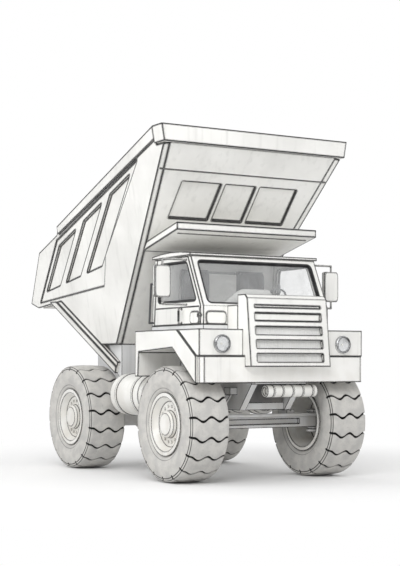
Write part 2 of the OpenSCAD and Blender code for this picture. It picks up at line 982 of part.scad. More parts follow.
// Roof with a shallow crown along its length
module cab_roof() {
    front = cab_front_x - screen_rake + roof_over;
    back = back_x(cab_top) - roof_over;
    crown_shares = [0, 0.25, 0.5, 0.75, 1];
    color(paint) from_front_axle() across(-cab_y - roof_over, cab_y + roof_over) polygon(concat(
        [[back, cab_top]],
        [for (s = crown_shares)
            [back + s * (front - back), cab_top + roof_t - roof_crown + 4 * roof_crown * s * (1 - s)]],
        [[front, cab_top]]
    ));
}

module cab_glass() {
    color(clear) from_front_axle() {
        screen_panel(-(cab_wall + glass_t) / 2, -(cab_wall - glass_t) / 2);
        rear_window((cab_wall - glass_t) / 2, (cab_wall + glass_t) / 2);
    }
}

module dashboard() {
    face = cab_front_x - cab_wall;
    half = cab_y - cab_wall - door_gap - over;
    top = cab_in_z + dash_h;
    color(dark) from_front_axle() {
        across(-half, half) polygon([
            [face, top - dash_lip], [face, top - 2 * dash_lip], [face - dash_lip, cab_in_z + dash_lip],
            [face - dash_l, top - dash_lip], [face - dash_l, top], [face - dash_lip, top],
        ]);
        across(dash_hump_y - dash_hump_w / 2, dash_hump_y + dash_hump_w / 2) polygon([
            [face - dash_lip, top - over], [face - dash_l, top - over], [face - dash_l, top + dash_hump_h],
            [face - 2 * dash_lip, top + dash_hump_h],
        ]);
    }
}

module steering_wheel() {
    face = cab_front_x - cab_wall - dash_l;
    ring = (wheel_rim_d - wheel_rim_t) / 2;
    color(dark) from_front_axle() translate([face, wheel_seat_y, cab_in_z + column_rise]) difference() {
        rotate([0, column_tilt - 90, 0]) {
            translate([0, 0, -column_len / 2]) cylinder(r = column_r, h = 3 * column_len / 2);
            translate([0, 0, column_len]) {
                rotate_extrude() translate([ring, 0]) circle(r = wheel_rim_t / 2);
                cylinder(r = wheel_hub_r, h = wheel_rim_t, center = true);
                for (turn = [0, 120, 240])
                    rotate([0, 0, turn]) bar_x(wheel_rim_t / 3, 0, ring);
            }
        }
        block(0, column_len, -ring, ring, -column_len, column_len);
    }
}

module seat_frames() {
    seat_z = cab_in_z + pedestal_h;
    color(dark) from_front_axle() for (side = [-1, 1]) translate([-seat_front, side * seat_y, 0]) {
        block(-(seat_l + pedestal_w) / 2, (pedestal_w - seat_l) / 2, -pedestal_w / 2, pedestal_w / 2,
            cab_in_z, seat_z);
        block(-seat_l, 0, -seat_w / 2, seat_w / 2, seat_z, seat_z + pan_h);
        block(-seat_l - back_frame_t, -seat_l, -seat_w / 2, seat_w / 2,
            seat_z, seat_z + pan_h + cushion_h + back_h);
    }
}

module seat_cushions() {
    pan_z = cab_in_z + pedestal_h + pan_h;
    color(cushion_grey) from_front_axle() for (side = [-1, 1]) translate([-seat_front, side * seat_y, 0]) {
        block(pin_gap - seat_l, 0, -seat_w / 2, seat_w / 2, pan_z + pin_gap, pan_z + cushion_h);
        block(pin_gap - seat_l, back_t - seat_l, -seat_w / 2, seat_w / 2,
            pan_z + cushion_h + pin_gap, pan_z + cushion_h + back_h);
    }
}

// Upright grab rail at each rear corner of the cab
module grab_rails() {
    low = cab_in_z + grab_low;
    high = cab_z + grab_high_share * cab_h;
    y = cab_y + grab_out;
    x = cab_wall / 2;
    color(frame_grey) from_front_axle() both_sides() {
        bar([back_x(low) + x, y, low], [back_x(high) + x, y, high], rail_tube_r);
        for (z = [low, high]) {
            translate([back_x(z) + x, 0, z]) bar_y(rail_tube_r, cab_y, y);
            translate([back_x(z) + x, y, z]) sphere(r = rail_tube_r);
        }
    }
}

// Doors, drawn for the left side

module door_outline() {
    low = cab_in_z + door_gap;
    high = cab_top - door_gap;
    front = cab_front_x - cab_wall - door_gap;
    slope = (screen_x(high) - cab_wall_x - door_gap);
    polygon([
        [front, low],
        [front, sill_z],
        [slope, high],
        [back_x(high) + cab_wall + door_gap, high],
        [back_x(low) + cab_wall + door_gap, low],
    ]);
}

module door_window_outline() {
    low = cab_z + door_window_low;
    high = cab_top - door_window_high;
    polygon(rounded([
        [screen_x(low) - cab_wall_x - door_window_front, low],
        [screen_x(high) - cab_wall_x - door_window_front, high],
        [back_x(high) + cab_wall + door_window_edge, high],
        [back_x(low) + cab_wall + door_window_edge, low],
    ], window_round));
}

module door() {
    pin_x = cab_front_x - cab_wall - hinge_behind;
    pin_y = cab_y + hinge_out;
    low = cab_in_z + hinge_end;
    high = sill_z - hinge_end;
    lug_low = (low + high - hinge_lug_h) / 2 - hinge_lug_gap;
    lug_high = (low + high + hinge_lug_h) / 2 + hinge_lug_gap;
    difference() {
        union() {
            across(cab_y - cab_wall, cab_y) door_outline();
            across(cab_y - over, cab_y + pad_t) rounded_oblong(
                door_pad_back, pin_x - hinge_r - pad_t, cab_in_z + 2 * door_gap, cab_z + pad_h, pad_round);
            translate([pin_x, pin_y, low]) cylinder(r = hinge_r, h = high - low);
            for (z = [handle_low, handle_high])
                translate([-handle_back, 0, cab_z + z]) {
                    bar_y(handle_r, cab_y - cab_wall / 2, cab_y + handle_out);
                    translate([0, cab_y + handle_out, 0]) sphere(r = handle_r);
                }
            translate([-handle_back, cab_y + handle_out, cab_z + handle_low])
                cylinder(r = handle_r, h = handle_high - handle_low);
        }
        across(cab_y - cab_wall - over, cab_y + over) door_window_outline();
        block(pin_x - 2 * hinge_lug_l, cab_front_x, cab_y - cab_wall - over, pin_y + hinge_r + over,
            lug_low, lug_high);
        translate([pin_x, pin_y, low - over]) cylinder(r = hinge_pin_r + pin_gap, h = high - low + 2 * over);
    }
}

module door_glass() {
    across(cab_y - (cab_wall + glass_t) / 2, cab_y - (cab_wall - glass_t) / 2) door_window_outline();
}

module mirror_on_arms() {
    mid_y = cab_y + mirror_in + mirror_w / 2;
    arm_z = [cab_z + mirror_arm_low, cab_top - mirror_arm_drop];
    for (z = arm_z)
        translate([-mirror_x, 0, z]) {
            bar_y(rail_tube_r, cab_y, mid_y);
            translate([0, mid_y, 0]) sphere(r = rail_tube_r);
        }
    translate([-mirror_x, mid_y, arm_z[0]]) cylinder(r = rail_tube_r, h = arm_z[1] - arm_z[0]);
    facing_x(-mirror_x - mirror_t, -mirror_x) rounded_oblong(mid_y - mirror_w / 2, mid_y + mirror_w / 2,
        cab_z + mirror_low, cab_z + mirror_low + mirror_h, mirror_round);
}

module door_right() { color(paint) from_front_axle() on_side(true) door(); }
module door_left() { color(paint) from_front_axle() on_side(false) door(); }
module door_glass_right() { color(clear) from_front_axle() on_side(true) door_glass(); }
module door_glass_left() { color(clear) from_front_axle() on_side(false) door_glass(); }
module mirror_right() { color(paint) from_front_axle() on_side(true) mirror_on_arms(); }
module mirror_left() { color(paint) from_front_axle() on_side(false) mirror_on_arms(); }

// Bed

// Forward face of the front wall at any height
function wall_x(z) = bed_front + (z - bed_z) * tan(bed_lean);
// Underside of the floor at a place on its slope or tail
function floor_z(x) = x > level_end ? bed_z
    : x > slope_end ? bed_z + (level_end - x) * slope_rise / (level_end - slope_end)
    : slope_z + (slope_end - x) * (tail_foot_z - slope_z) / (slope_end - tail_foot_x);
// Top of what carries the floor at a place
function under_floor(x) = floor_z(x) - seat_gap;

// Lays a side outline, drawn in x and slope height, on the left side of the bed, outer face at depth 0
module on_bed_side(d0, d1) {
    translate([0, bed_y, bed_z]) rotate([90 - bed_flare, 0, 0])
        translate([0, 0, d0]) linear_extrude(d1 - d0) children();
}

// A point of a side outline: a leaning side is longer along its slope than it is tall
function on_slope(x, z) = [x, (z - bed_z) / cos(bed_flare)];

// Half space on the left beyond the side's plane moved out by a distance
module beyond_side(d) {
    translate([0, bed_y, bed_z]) rotate([-bed_flare, 0, 0])
        translate([-far, d, -far]) cube([2 * far, far, 2 * far]);
}

module between_sides(d) {
    difference() {
        across(-far / 2, far / 2) children();
        both_sides() beyond_side(d);
    }
}

module bed_floor() {
    inner = bed_front - bed_wall_x - seat_gap;
    color(paint) from_front_axle() between_sides(-bed_wall - seat_gap) polygon([
        [inner, bed_z],
        [level_end, bed_z],
        [slope_end, slope_z],
        [tail_foot_x, tail_foot_z],
        [tail_x, bed_z + tail_tip_rise],
        [tail_x, bed_z + tail_tip_rise + floor_t],
        [tail_foot_x, tail_foot_z + floor_t],
        [slope_end, slope_z + floor_t],
        [level_end, bed_z + floor_t],
        [inner + floor_t * tan(bed_lean), bed_z + floor_t],
    ]);
}

// Side outline: under the lip it stops short by as much as the leaning wall rises from face to face
module bed_side_outline() {
    side_top = lip_z - seat_gap - bed_wall * sin(bed_flare);
    polygon([
        on_slope(bed_front, bed_z),
        on_slope(wall_x(side_top), side_top),
        on_slope(lip_back, side_top),
        on_slope(lip_back, bed_top),
        on_slope(step_x, bed_z + step_rise),
        on_slope(step_x - step_l, bed_z + step_rise - step_drop),
        on_slope(tail_top_x, bed_z + tail_top_rise),
        on_slope(tail_x, bed_z + tail_tip_rise),
        on_slope(tail_foot_x, tail_foot_z),
        on_slope(slope_end, slope_z),
        on_slope(level_end, bed_z),
    ]);
}

module top_rail_outline() {
    polygon([
        on_slope(lip_back, bed_top - rail_band),
        on_slope(lip_back, bed_top),
        on_slope(step_x, bed_z + step_rise),
        on_slope(step_x, bed_z + step_rise - rail_band_end_share * rail_band),
    ]);
}

// Height at which a leaning panel edge, given by its place at floor level, meets a line of height and slope
function panel_meet(x, z, slope) =
    (z + slope * (x - bed_z * tan(panel_lean))) / (1 - slope * tan(panel_lean));
function panel_corner(x, z, slope) =
    let (meet = panel_meet(x, z, slope))
    on_slope(x + (meet - bed_z) * tan(panel_lean), meet);

// Slanted panel between a low line that rises forward and a high line along the top rail
module side_panel_outline(i) {
    x0 = tail_x - panel_first_behind + i * panel_pitch;
    x1 = x0 + panel_w;
    fall = (bed_h - step_rise) / (lip_back - step_x);
    low = bed_z + panel_low_rise - panel_low_slope_share * tail_x;
    high = bed_top - rail_band - panel_edge - fall * lip_back;
    polygon([
        panel_corner(x0, low, panel_low_slope_share),
        panel_corner(x1, low, panel_low_slope_share),
        panel_corner(x1, high, fall),
        panel_corner(x0, high, fall),
    ]);
}

// Sunk field of a side, between the tail's band, the floor's band, the front column and the top rail
module side_field_outline() {
    tail_low = bed_z + field_tail_rise;
    tail_high = bed_z + field_top_rise;
    knee = bed_z + field_knee_rise;
    top = bed_z + field_front_rise;
    polygon([
        on_slope(tail_x + field_tail_in, tail_low),
        on_slope(bed_front - field_foot_back, bed_z + field_foot_rise),
        on_slope(wall_x(knee) - field_knee_back, knee),
        on_slope(wall_x(top) - field_front_back, top),
        on_slope(step_x - field_top_back, tail_high),
    ]);
}

module bed_sides() {
    color(paint) from_front_axle() both_sides() difference() {
        union() {
            on_bed_side(0, bed_wall) bed_side_outline();
            on_bed_side(-lip_out, bed_wall) top_rail_outline();
        }
        on_bed_side(-over, field_depth) side_field_outline();
        for (i = [0 : panel_count - 1])
            on_bed_side(-over, field_depth + panel_depth) side_panel_outline(i);
    }
}

module bed_front_wall() {
    wall_len = (lip_z - bed_z) / cos(bed_lean);
    color(paint) from_front_axle() difference() {
        union() {
            between_sides(-bed_wall - seat_gap) polygon([
                [bed_front, bed_z],
                [wall_x(lip_z), lip_z],
                [wall_x(lip_z) - bed_wall_x, lip_z],
                [bed_front - bed_wall_x, bed_z],
            ]);
            between_sides(lip_out) polygon([
                [lip_back, lip_z], [lip_front, lip_z], [lip_front, bed_top], [lip_back, bed_top],
            ]);
        }
        translate([bed_front, 0, bed_z]) rotate([0, bed_lean, 0])
            for (row = front_panel_rows_shares)
                translate([-front_panel_depth, row[0] * bed_y, front_panel_low_share * wall_len])
                    cube([2 * front_panel_depth, (row[1] - row[0]) * bed_y,
                        (front_panel_high_share - front_panel_low_share) * wall_len]);
    }
}

// Height at which the canopy's line from a front height meets the leaning front wall
function canopy_meet(z) =
    let (fall = tan(canopy_slope))
    (z - fall * (-canopy_front - bed_front + bed_z * tan(bed_lean))) / (1 - fall * tan(bed_lean));

module bed_canopy() {
    top = bed_z + canopy_rise;
    low = top - canopy_t;
    color(paint) from_front_axle() across(-canopy_w / 2, canopy_w / 2) polygon([
        [-canopy_front, low],
        [-canopy_front, top],
        [wall_x(canopy_meet(top)) + seat_gap, canopy_meet(top)],
        [wall_x(canopy_meet(low)) + seat_gap, canopy_meet(low)],
    ]);
}

module bed_beams() {
    beam_y = bed_y - bed_wall;
    beam_low = slope_z - beam_depth;
    slope = (beam_low - tyre_d - beam_over_tyre) / slope_behind;
    front_low = beam_low - slope * (bed_front - slope_end);
    lug_y = rail_out + lug_gap;
    color(frame_grey) from_front_axle() {
        both_sides() across(beam_y - beam_w, beam_y) polygon([
            [bed_front, under_floor(bed_front)],
            [bed_front, front_low],
            [slope_end, beam_low],
            [slope_end, under_floor(slope_end)],
            [level_end, under_floor(level_end)],
        ]);
        block(bed_front - bolster_l, bed_front, beam_w - beam_y - over, beam_y - beam_w + over,
            rail_top + bolster_gap, under_floor(bed_front));
        both_sides() difference() {
            across(lug_y, lug_y + lug_t) union() {
                polygon([
                    [pivot_x + lug_half, under_floor(pivot_x + lug_half)],
                    [pivot_x + pivot_eye_r, pivot_z],
                    [pivot_x - pivot_eye_r, pivot_z],
                    [pivot_x - lug_half, under_floor(pivot_x - lug_half)],
                    [slope_end, under_floor(slope_end)],
                ]);
                translate([pivot_x, pivot_z]) circle(r = pivot_eye_r);
            }
            translate([pivot_x, 0, pivot_z]) bar_y(pivot_r + pin_gap, lug_y - over, lug_y + lug_t + over);
        }
        both_sides() for (out = [-1, 1])
            translate([0, hoist_y + out * (hoist_eye_w / 2 + fork_gap + fork_t / 2), 0])
                across(-fork_t / 2, fork_t / 2) {
                    polygon([
                        [hoist_up[0] + fork_l / 2, under_floor(hoist_up[0] + fork_l / 2)],
                        [hoist_up[0] + fork_eye_r, hoist_up[1]],
                        [hoist_up[0] - fork_eye_r, hoist_up[1]],
                        [hoist_up[0] - fork_l / 2, under_floor(hoist_up[0] - fork_l / 2)],
                    ]);
                    translate(hoist_up) circle(r = fork_eye_r);
                }
    }
}

// Hoists, drawn for the left side, along the line between their pins

module along_hoist() {
    translate([hoist_low[0], hoist_y, hoist_low[1]]) rotate([0, hoist_tilt, 0]) children();
}

module hoist_barrel() {
    reach = barrel_share * hoist_len;
    along_hoist() difference() {
        union() {
            cylinder(r = barrel_od / 2, h = reach);
            translate([0, 0, reach]) cylinder(r = barrel_od / 2 + gland_over, h = gland_l);
            bar_y(hoist_eye_r, -hoist_eye_w / 2, hoist_eye_w / 2);
        }
        translate([0, 0, hoist_eye_r * 2]) cylinder(r = rod_od / 2 + pin_gap, h = hoist_len);
        translate([0, 0, -hoist_eye_r]) {
            block(-barrel_od, barrel_od, hoist_eye_w / 2, barrel_od, 0, 2 * hoist_eye_r);
            block(-barrel_od, barrel_od, -barrel_od, -hoist_eye_w / 2, 0, 2 * hoist_eye_r);
        }
        bar_y(hoist_pin_r + pin_gap, -barrel_od, barrel_od);
    }
}

module hoist_rod() {
    foot = hoist_eye_r * 2 + gland_l;
    along_hoist() {
        translate([0, 0, foot]) cylinder(r = rod_od / 2, h = hoist_len - foot - rod_neck);
        block(-rod_od / 2, rod_od / 2, -hoist_eye_w / 2, hoist_eye_w / 2,
            hoist_len - rod_neck - over, hoist_len);
        translate([0, 0, hoist_len]) bar_y(hoist_eye_r, -hoist_eye_w / 2, hoist_eye_w / 2);
    }
}

module hoist_barrel_right() { color(frame_grey) from_front_axle() on_side(true) hoist_barrel(); }
module hoist_barrel_left() { color(frame_grey) from_front_axle() on_side(false) hoist_barrel(); }
module hoist_rod_right() { color(steel) from_front_axle() on_side(true) hoist_rod(); }
module hoist_rod_left() { color(steel) from_front_axle() on_side(false) hoist_rod(); }

// Steering, drawn for the left side about its kingpin

module knuckle() {
    ear_z = fist_half + ear_gap;
    translate([0, kingpin_y, hub_z]) {
        for (up = [-1, 1])
            translate([0, 0, up > 0 ? ear_z : -ear_z - ear_t]) {
                cylinder(r = ear_r, h = ear_t);
                block(-ear_r, ear_r, 0, yoke_in + yoke_t, 0, ear_t);
            }
        block(-yoke_half_l, yoke_half_l, yoke_in, yoke_in + yoke_t, -ear_z - ear_t, ear_z + ear_t);
        translate([0, 0, -ear_z - ear_t / 2]) cylinder(r = kingpin_r, h = 2 * ear_z + ear_t);
        bar_y(spindle_r, yoke_in, kingpin_in + spindle_reach);
        block(0, arm_len, -arm_w / 2, arm_w / 2, ear_z, ear_z + ear_t);
        translate([arm_len, 0, ear_z]) cylinder(r = arm_eye_r, h = ear_t);
        translate([arm_len, 0, ear_z - tie_gap - tie_eye_h])
            cylinder(r = stud_r, h = tie_gap + tie_eye_h + ear_t / 2);
    }
}

module tie_rod() {
    eye_z = hub_z + fist_half + ear_gap - tie_gap - tie_eye_h;
    color(frame_grey) from_front_axle() translate([arm_len, 0, eye_z]) difference() {
        union() {
            both_sides() translate([0, kingpin_y, 0]) cylinder(r = tie_eye_r, h = tie_eye_h);
            translate([0, 0, tie_eye_h / 2]) bar_y(tie_r, -kingpin_y, kingpin_y);
        }
        both_sides() translate([0, kingpin_y, -over])
            cylinder(r = stud_r + pin_gap, h = tie_eye_h + 2 * over);
    }
}

module knuckle_right() { color(frame_grey) from_front_axle() on_side(true) knuckle(); }
module knuckle_left() { color(frame_grey) from_front_axle() on_side(false) knuckle(); }

// Wheels: profiles of radius and y, outward positive

module rim() {
    turned_y() polygon([
        [spindle_r + pin_gap, hub_in],
        [hub_r, hub_in],
        [hub_r, disc_in],
        [barrel_r, disc_in],
        [barrel_r, -rim_half],
        [rim_r, -rim_half],
        [rim_r, rim_flange_t - rim_half],
        [seat_r, rim_flange_t - rim_half],
        [seat_r, bead_half],
        [rim_r, bead_half],
        [rim_r, rim_half],
        [ring_r, rim_half],
        [ring_r - disc_t, disc_in + disc_t],
        [hub_cap_d / 2, disc_in + disc_t],
        [hub_cap_d / 2, cap_y - cap_t],
        [hub_cap_d / 2 - cap_t, cap_y],
        [0, cap_y],
        [0, spindle_reach + bore_spare],
        [spindle_r + pin_gap, spindle_reach + bore_spare],
    ]);
}

// A point of the tyre: angle from straight down, radius and y
function tyre_point(turn, r, y) = [r * sin(turn), y, -r * cos(turn)];
// Each lug takes three steps round: the bottom of the groove ahead of it and its own two edges
function lug_turn(i, swing) = lug_pitch * floor(i / 3) + (swing - 1) * swing_turn
    + [-groove_half, 0, lug_pitch - 2 * groove_half][i % 3];
function even_turn(i) = lug_pitch * i / 3 - groove_half;
function tread_r(i, share) = hub_z - tread_crown * share * share - (i % 3 == 0 ? lug_h : 0);

// Closed skin from bead to bead, with lugs across the tread that part at wavy grooves
module tyre() {
    tread_half = tread_half_share * tyre_w / 2;
    bulge_r = rim_r + bulge_share * (hub_z - rim_r);
    shoulder_r = rim_r + shoulder_share * (hub_z - rim_r);
    shoulder_y = (tyre_w / 2 + tread_half) / 2;
    steps = 3 * lugs;
    inner_r = (seat_r + pin_gap) / cos(180 / steps);
    side = [[inner_r, bead_half - bead_tuck], [rim_r + bead_bulge, rim_half], [bulge_r, tyre_w / 2]];
    columns = 2 * len(side) + 2 + len(tread_columns_shares);
    points = [for (i = [0 : steps - 1]) each concat(
        [for (c = side) tyre_point(even_turn(i), c[0], -c[1])],
        [tyre_point(lug_turn(i, 1), shoulder_r, -shoulder_y)],
        [for (c = tread_columns_shares)
            tyre_point(lug_turn(i, c[1]), tread_r(i, c[0]), c[0] * tread_half)],
        [tyre_point(lug_turn(i, 1), shoulder_r, shoulder_y)],
        [for (k = [1 : len(side)]) let (c = side[len(side) - k]) tyre_point(even_turn(i), c[0], c[1])]
    )];
    faces = [for (i = [0 : steps - 1]) for (j = [0 : columns - 1])
        let (a = i * columns + j, b = i * columns + (j + 1) % columns,
            c = (i + 1) % steps * columns + (j + 1) % columns, d = (i + 1) % steps * columns + j)
        each [[a, b, c], [a, c, d]]];
    polyhedron(points, faces, convexity = 4);
}

// Places a left-hand wheel at the front or rear axle, on either side
module at_wheel(rear, right) {
    from_front_axle() on_side(right) translate([rear ? rear_x : 0, wheel_y, hub_z]) children();
}

module rim_front_right() { color(paint) at_wheel(false, true) rim(); }
module rim_front_left() { color(paint) at_wheel(false, false) rim(); }
module rim_rear_right() { color(paint) at_wheel(true, true) rim(); }
module rim_rear_left() { color(paint) at_wheel(true, false) rim(); }
module tyre_front_right() { color(rubber) at_wheel(false, true) tyre(); }
module tyre_front_left() { color(rubber) at_wheel(false, false) tyre(); }
module tyre_rear_right() { color(rubber) at_wheel(true, true) tyre(); }
module tyre_rear_left() { color(rubber) at_wheel(true, false) tyre(); }

frame_rails();
cross_members();
front_axle();
front_struts();
rear_axle();
rear_struts();
engine();
bumper();
air_receiver();
tanks();
rear_hitch();
radiator_shell();
radiator_core();
bonnet();
fenders();
headlamp_bezels();
headlamp_lenses();
cab_floor();
cab_front();
cab_back();
cab_roof();
cab_glass();
dashboard();
steering_wheel();
seat_frames();
seat_cushions();
grab_rails();
door_right();
door_left();
door_glass_right();
door_glass_left();
mirror_right();
mirror_left();
bed_floor();
bed_sides();
bed_front_wall();
bed_canopy();
bed_beams();
hoist_barrel_right();
hoist_barrel_left();
hoist_rod_right();
hoist_rod_left();
knuckle_right();
knuckle_left();
tie_rod();
rim_front_right();
rim_front_left();
rim_rear_right();
rim_rear_left();
tyre_front_right();
tyre_front_left();
tyre_rear_right();
tyre_rear_left();
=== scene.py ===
# %% [markdown]
# A mining dump truck stands on four wide tyres, its bed lowered over the cab. Its plates, beams, wheels and
# joints come ready made as solids. This lesson gives each of them a finish and adds what solids leave out:
# tread, seals, bolts, lamp bowls, a radiator screen, seat pads and trim. The first cell loads the solids and
# keeps their box.

# %% Load the frame
import math

import bmesh
import bpy
import numpy as np
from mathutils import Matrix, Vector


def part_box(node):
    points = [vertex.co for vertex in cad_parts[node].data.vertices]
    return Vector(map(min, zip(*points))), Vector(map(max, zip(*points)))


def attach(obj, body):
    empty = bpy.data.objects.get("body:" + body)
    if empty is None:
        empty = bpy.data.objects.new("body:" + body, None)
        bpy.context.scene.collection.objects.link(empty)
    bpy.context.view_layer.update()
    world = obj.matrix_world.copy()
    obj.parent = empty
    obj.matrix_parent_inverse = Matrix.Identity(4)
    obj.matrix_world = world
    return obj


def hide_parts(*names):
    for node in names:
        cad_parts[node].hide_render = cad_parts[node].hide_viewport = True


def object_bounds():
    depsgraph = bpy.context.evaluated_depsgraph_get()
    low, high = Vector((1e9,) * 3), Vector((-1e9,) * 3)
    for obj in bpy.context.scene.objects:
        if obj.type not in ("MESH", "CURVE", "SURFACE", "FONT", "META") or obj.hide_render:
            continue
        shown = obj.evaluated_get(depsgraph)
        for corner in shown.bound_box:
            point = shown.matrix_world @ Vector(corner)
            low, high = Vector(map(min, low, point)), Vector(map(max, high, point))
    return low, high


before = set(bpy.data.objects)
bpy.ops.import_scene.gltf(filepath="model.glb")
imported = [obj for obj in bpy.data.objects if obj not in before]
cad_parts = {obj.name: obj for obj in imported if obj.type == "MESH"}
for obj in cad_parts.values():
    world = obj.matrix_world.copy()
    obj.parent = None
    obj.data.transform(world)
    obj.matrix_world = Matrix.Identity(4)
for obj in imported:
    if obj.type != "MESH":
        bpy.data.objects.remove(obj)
cad_low, cad_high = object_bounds()
scene = bpy.context.scene
print("solids:", len(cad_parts), "box:", [round(v, 3) for v in (*cad_low, *cad_high)])

# %% [markdown]
# The picture was taken level, from ahead of the truck's right side, with the horizon below the middle of
# the frame. A level camera keeps upright edges upright, and the lens shift moves the horizon down without
# tilting it. The place, the turn and the focal length were fitted to corners that show in the picture.

# %% Camera
PHOTO_W, PHOTO_H = 400, 566
FOCAL_PX = 1320.0
HORIZON_PX = 363.3
CAMERA_PLACE = (20.854, -11.923, 1.911)
CAMERA_TURN = math.radians(30.67)
SENSOR = 36.0
FAR_CLIP = 400

camera_data = bpy.data.cameras.new("camera")
camera_data.sensor_width = SENSOR
camera_data.lens = FOCAL_PX * SENSOR / max(PHOTO_W, PHOTO_H)
camera_data.shift_y = (HORIZON_PX - PHOTO_H / 2) / max(PHOTO_W, PHOTO_H)
camera_data.clip_end = FAR_CLIP
camera = bpy.data.objects.new("camera", camera_data)
camera.location = CAMERA_PLACE
camera.rotation_euler = (math.pi / 2, 0, math.pi / 2 - CAMERA_TURN)
scene.collection.objects.link(camera)
scene.camera = camera
print("lens", round(camera_data.lens, 1), "mm")

# %% [markdown]
# Every new piece here is a surface on a grid: rows and columns of points worked out as one array, with a
# quad between each four neighbours. One helper lists the quads of a grid. The next puts one or many grids of
# the same size into one mesh, at the origin, riding on a body of the truck. Where a grid closes at a pole its
# points fall together, so a closed piece is welded there and its faces are turned outwards.

# %% Grid helpers
def grid_quads(rows, cols, wrap_rows=False, wrap_cols=False):
    """Quads of a rows by cols grid: point (i, j) joins (i+1, j), (i+1, j+1) and (i, j+1)."""
    i, j = np.meshgrid(
        np.arange(rows if wrap_rows else rows - 1),
        np.arange(cols if wrap_cols else cols - 1),
        indexing="ij",
    )
    i1, j1 = (i + 1) % rows, (j + 1) % cols
    return np.stack([i * cols + j, i1 * cols + j, i1 * cols + j1, i * cols + j1], -1).reshape(-1, 4)


WELD = 1e-5


def surface(name, points, body, finish, wrap_rows=False, wrap_cols=False, closed=False, crease=40):
    """One mesh from an array of points shaped (rows, cols, 3), or (copies, rows, cols, 3).

    Edges that turn by more than crease degrees stay sharp."""
    points = np.asarray(points, float)
    if points.ndim == 3:
        points = points[None]
    copies, rows, cols, _ = points.shape
    quads = grid_quads(rows, cols, wrap_rows, wrap_cols)
    quads = (quads[None] + (np.arange(copies) * rows * cols)[:, None, None]).reshape(-1, 4)
    mesh = bpy.data.meshes.new(name)
    mesh.vertices.add(copies * rows * cols)
    mesh.vertices.foreach_set("co", points.reshape(-1).astype(np.float32))
    mesh.loops.add(quads.size)
    mesh.loops.foreach_set("vertex_index", quads.reshape(-1).astype(np.int32))
    mesh.polygons.add(len(quads))
    mesh.polygons.foreach_set("loop_start", np.arange(0, quads.size, 4, dtype=np.int32))
    mesh.update()
    if closed:
        work = bmesh.new()
        work.from_mesh(mesh)
        bmesh.ops.remove_doubles(work, verts=work.verts, dist=WELD)
        bmesh.ops.recalc_face_normals(work, faces=work.faces)
        work.to_mesh(mesh)
        work.free()
    mesh.polygons.foreach_set("use_smooth", np.full(len(mesh.polygons), True))
    mesh.set_sharp_from_angle(angle=math.radians(crease))
    mesh.validate()
    piece = bpy.data.objects.new(name, mesh)
    scene.collection.objects.link(piece)
    mesh.materials.append(finish)
    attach(piece, body)
    print(name, "on", body, len(quads) * 2, "triangles")
    return piece


def turned(profile, places, axis, steps, shape=None):
    """Points of a profile spun round an axis at each place: place + along * axis + radius * (cos, sin).

    The profile lists radius and distance along the axis. shape may give a radius share per step and column."""
    radius, along = np.asarray(profile, float).T
    axis = np.asarray(axis, float) / np.linalg.norm(axis)
    first = np.cross(axis, (0.0, 0.0, 1.0) if abs(axis[2]) < 0.9 else (1.0, 0.0, 0.0))
    first = first / np.linalg.norm(first)
    second = np.cross(axis, first)
    angle = np.linspace(0, 2 * math.pi, steps, endpoint=False)
    reach = np.broadcast_to(radius, (steps, len(radius))) * (1 if shape is None else shape)
    round_ = np.cos(angle)[:, None, None] * first + np.sin(angle)[:, None, None] * second
    one = reach[..., None] * round_ + along[None, :, None] * axis
    return np.atleast_2d(places)[:, None, None, :] + one[None]


def node_points(node):
    """All vertices of a solid as an array of rows x, y, z."""
    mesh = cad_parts[node].data
    flat = np.empty(len(mesh.vertices) * 3, np.float32)
    mesh.vertices.foreach_get("co", flat)
    return flat.reshape(-1, 3).astype(float)


def box_of(node):
    """Lowest and highest corner of a solid as two arrays."""
    low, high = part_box(node)
    return np.array(low), np.array(high)

# %% [markdown]
# A finish is a small net of nodes. Written out one by one they hide the idea, so four helpers name the
# ideas: add a node, blend two colours, spread a noise over the truck in metres, and stretch a range of
# values to 0 and 1. A fifth finds edges: the Bevel node rounds the normal near an edge, and the angle
# between that and the true normal tells how close the edge is, at outer edges and inner corners alike.
# Paint goes dark there: worn on the outer edges, painted shade in the inner corners.

# %% Finish helpers
def add(tree, kind, inputs=None, **settings):
    """Adds one node, sets its fields, and links or sets its inputs."""
    node = tree.nodes.new(kind)
    for field, value in settings.items():
        setattr(node, field, value)
    for key, value in (inputs or {}).items():
        if isinstance(value, bpy.types.NodeSocket):
            tree.links.new(value, node.inputs[key])
        else:
            node.inputs[key].default_value = value
    return node


def colour(rgb):
    """Red, green and blue with full cover."""
    return (*rgb, 1.0)


def blend(tree, share, first, second):
    """Colour socket that goes from first to second as share goes from 0 to 1."""
    sockets = {0: share}
    for key, value in ((6, first), (7, second)):
        sockets[key] = value if isinstance(value, bpy.types.NodeSocket) else colour(value)
    return add(tree, "ShaderNodeMix", sockets, data_type="RGBA").outputs[2]


def stretch(tree, value, low, high, to_low=0.0, to_high=1.0):
    """Maps low..high to to_low..to_high, held at both ends."""
    sockets = {0: value, 1: low, 2: high, 3: to_low, 4: to_high}
    return add(tree, "ShaderNodeMapRange", sockets, interpolation_type="SMOOTHSTEP").outputs[0]


def spread(tree, scale, detail=4.0, squeeze=(1, 1, 1)):
    """Noise over the truck's own metres, squeezed along the axes for streaks."""
    place = add(tree, "ShaderNodeTexCoord").outputs["Object"]
    place = add(tree, "ShaderNodeMapping", {"Vector": place, "Scale": squeeze}).outputs[0]
    noise = add(tree, "ShaderNodeTexNoise", {"Vector": place, "Scale": scale, "Detail": detail})
    return noise.outputs[0]


def height(tree):
    """Height above the ground in metres."""
    place = add(tree, "ShaderNodeTexCoord").outputs["Object"]
    return add(tree, "ShaderNodeSeparateXYZ", {0: place}).outputs[2]


def times(tree, first, second):
    """Product of two values."""
    return add(tree, "ShaderNodeMath", {0: first, 1: second}, operation="MULTIPLY").outputs[0]


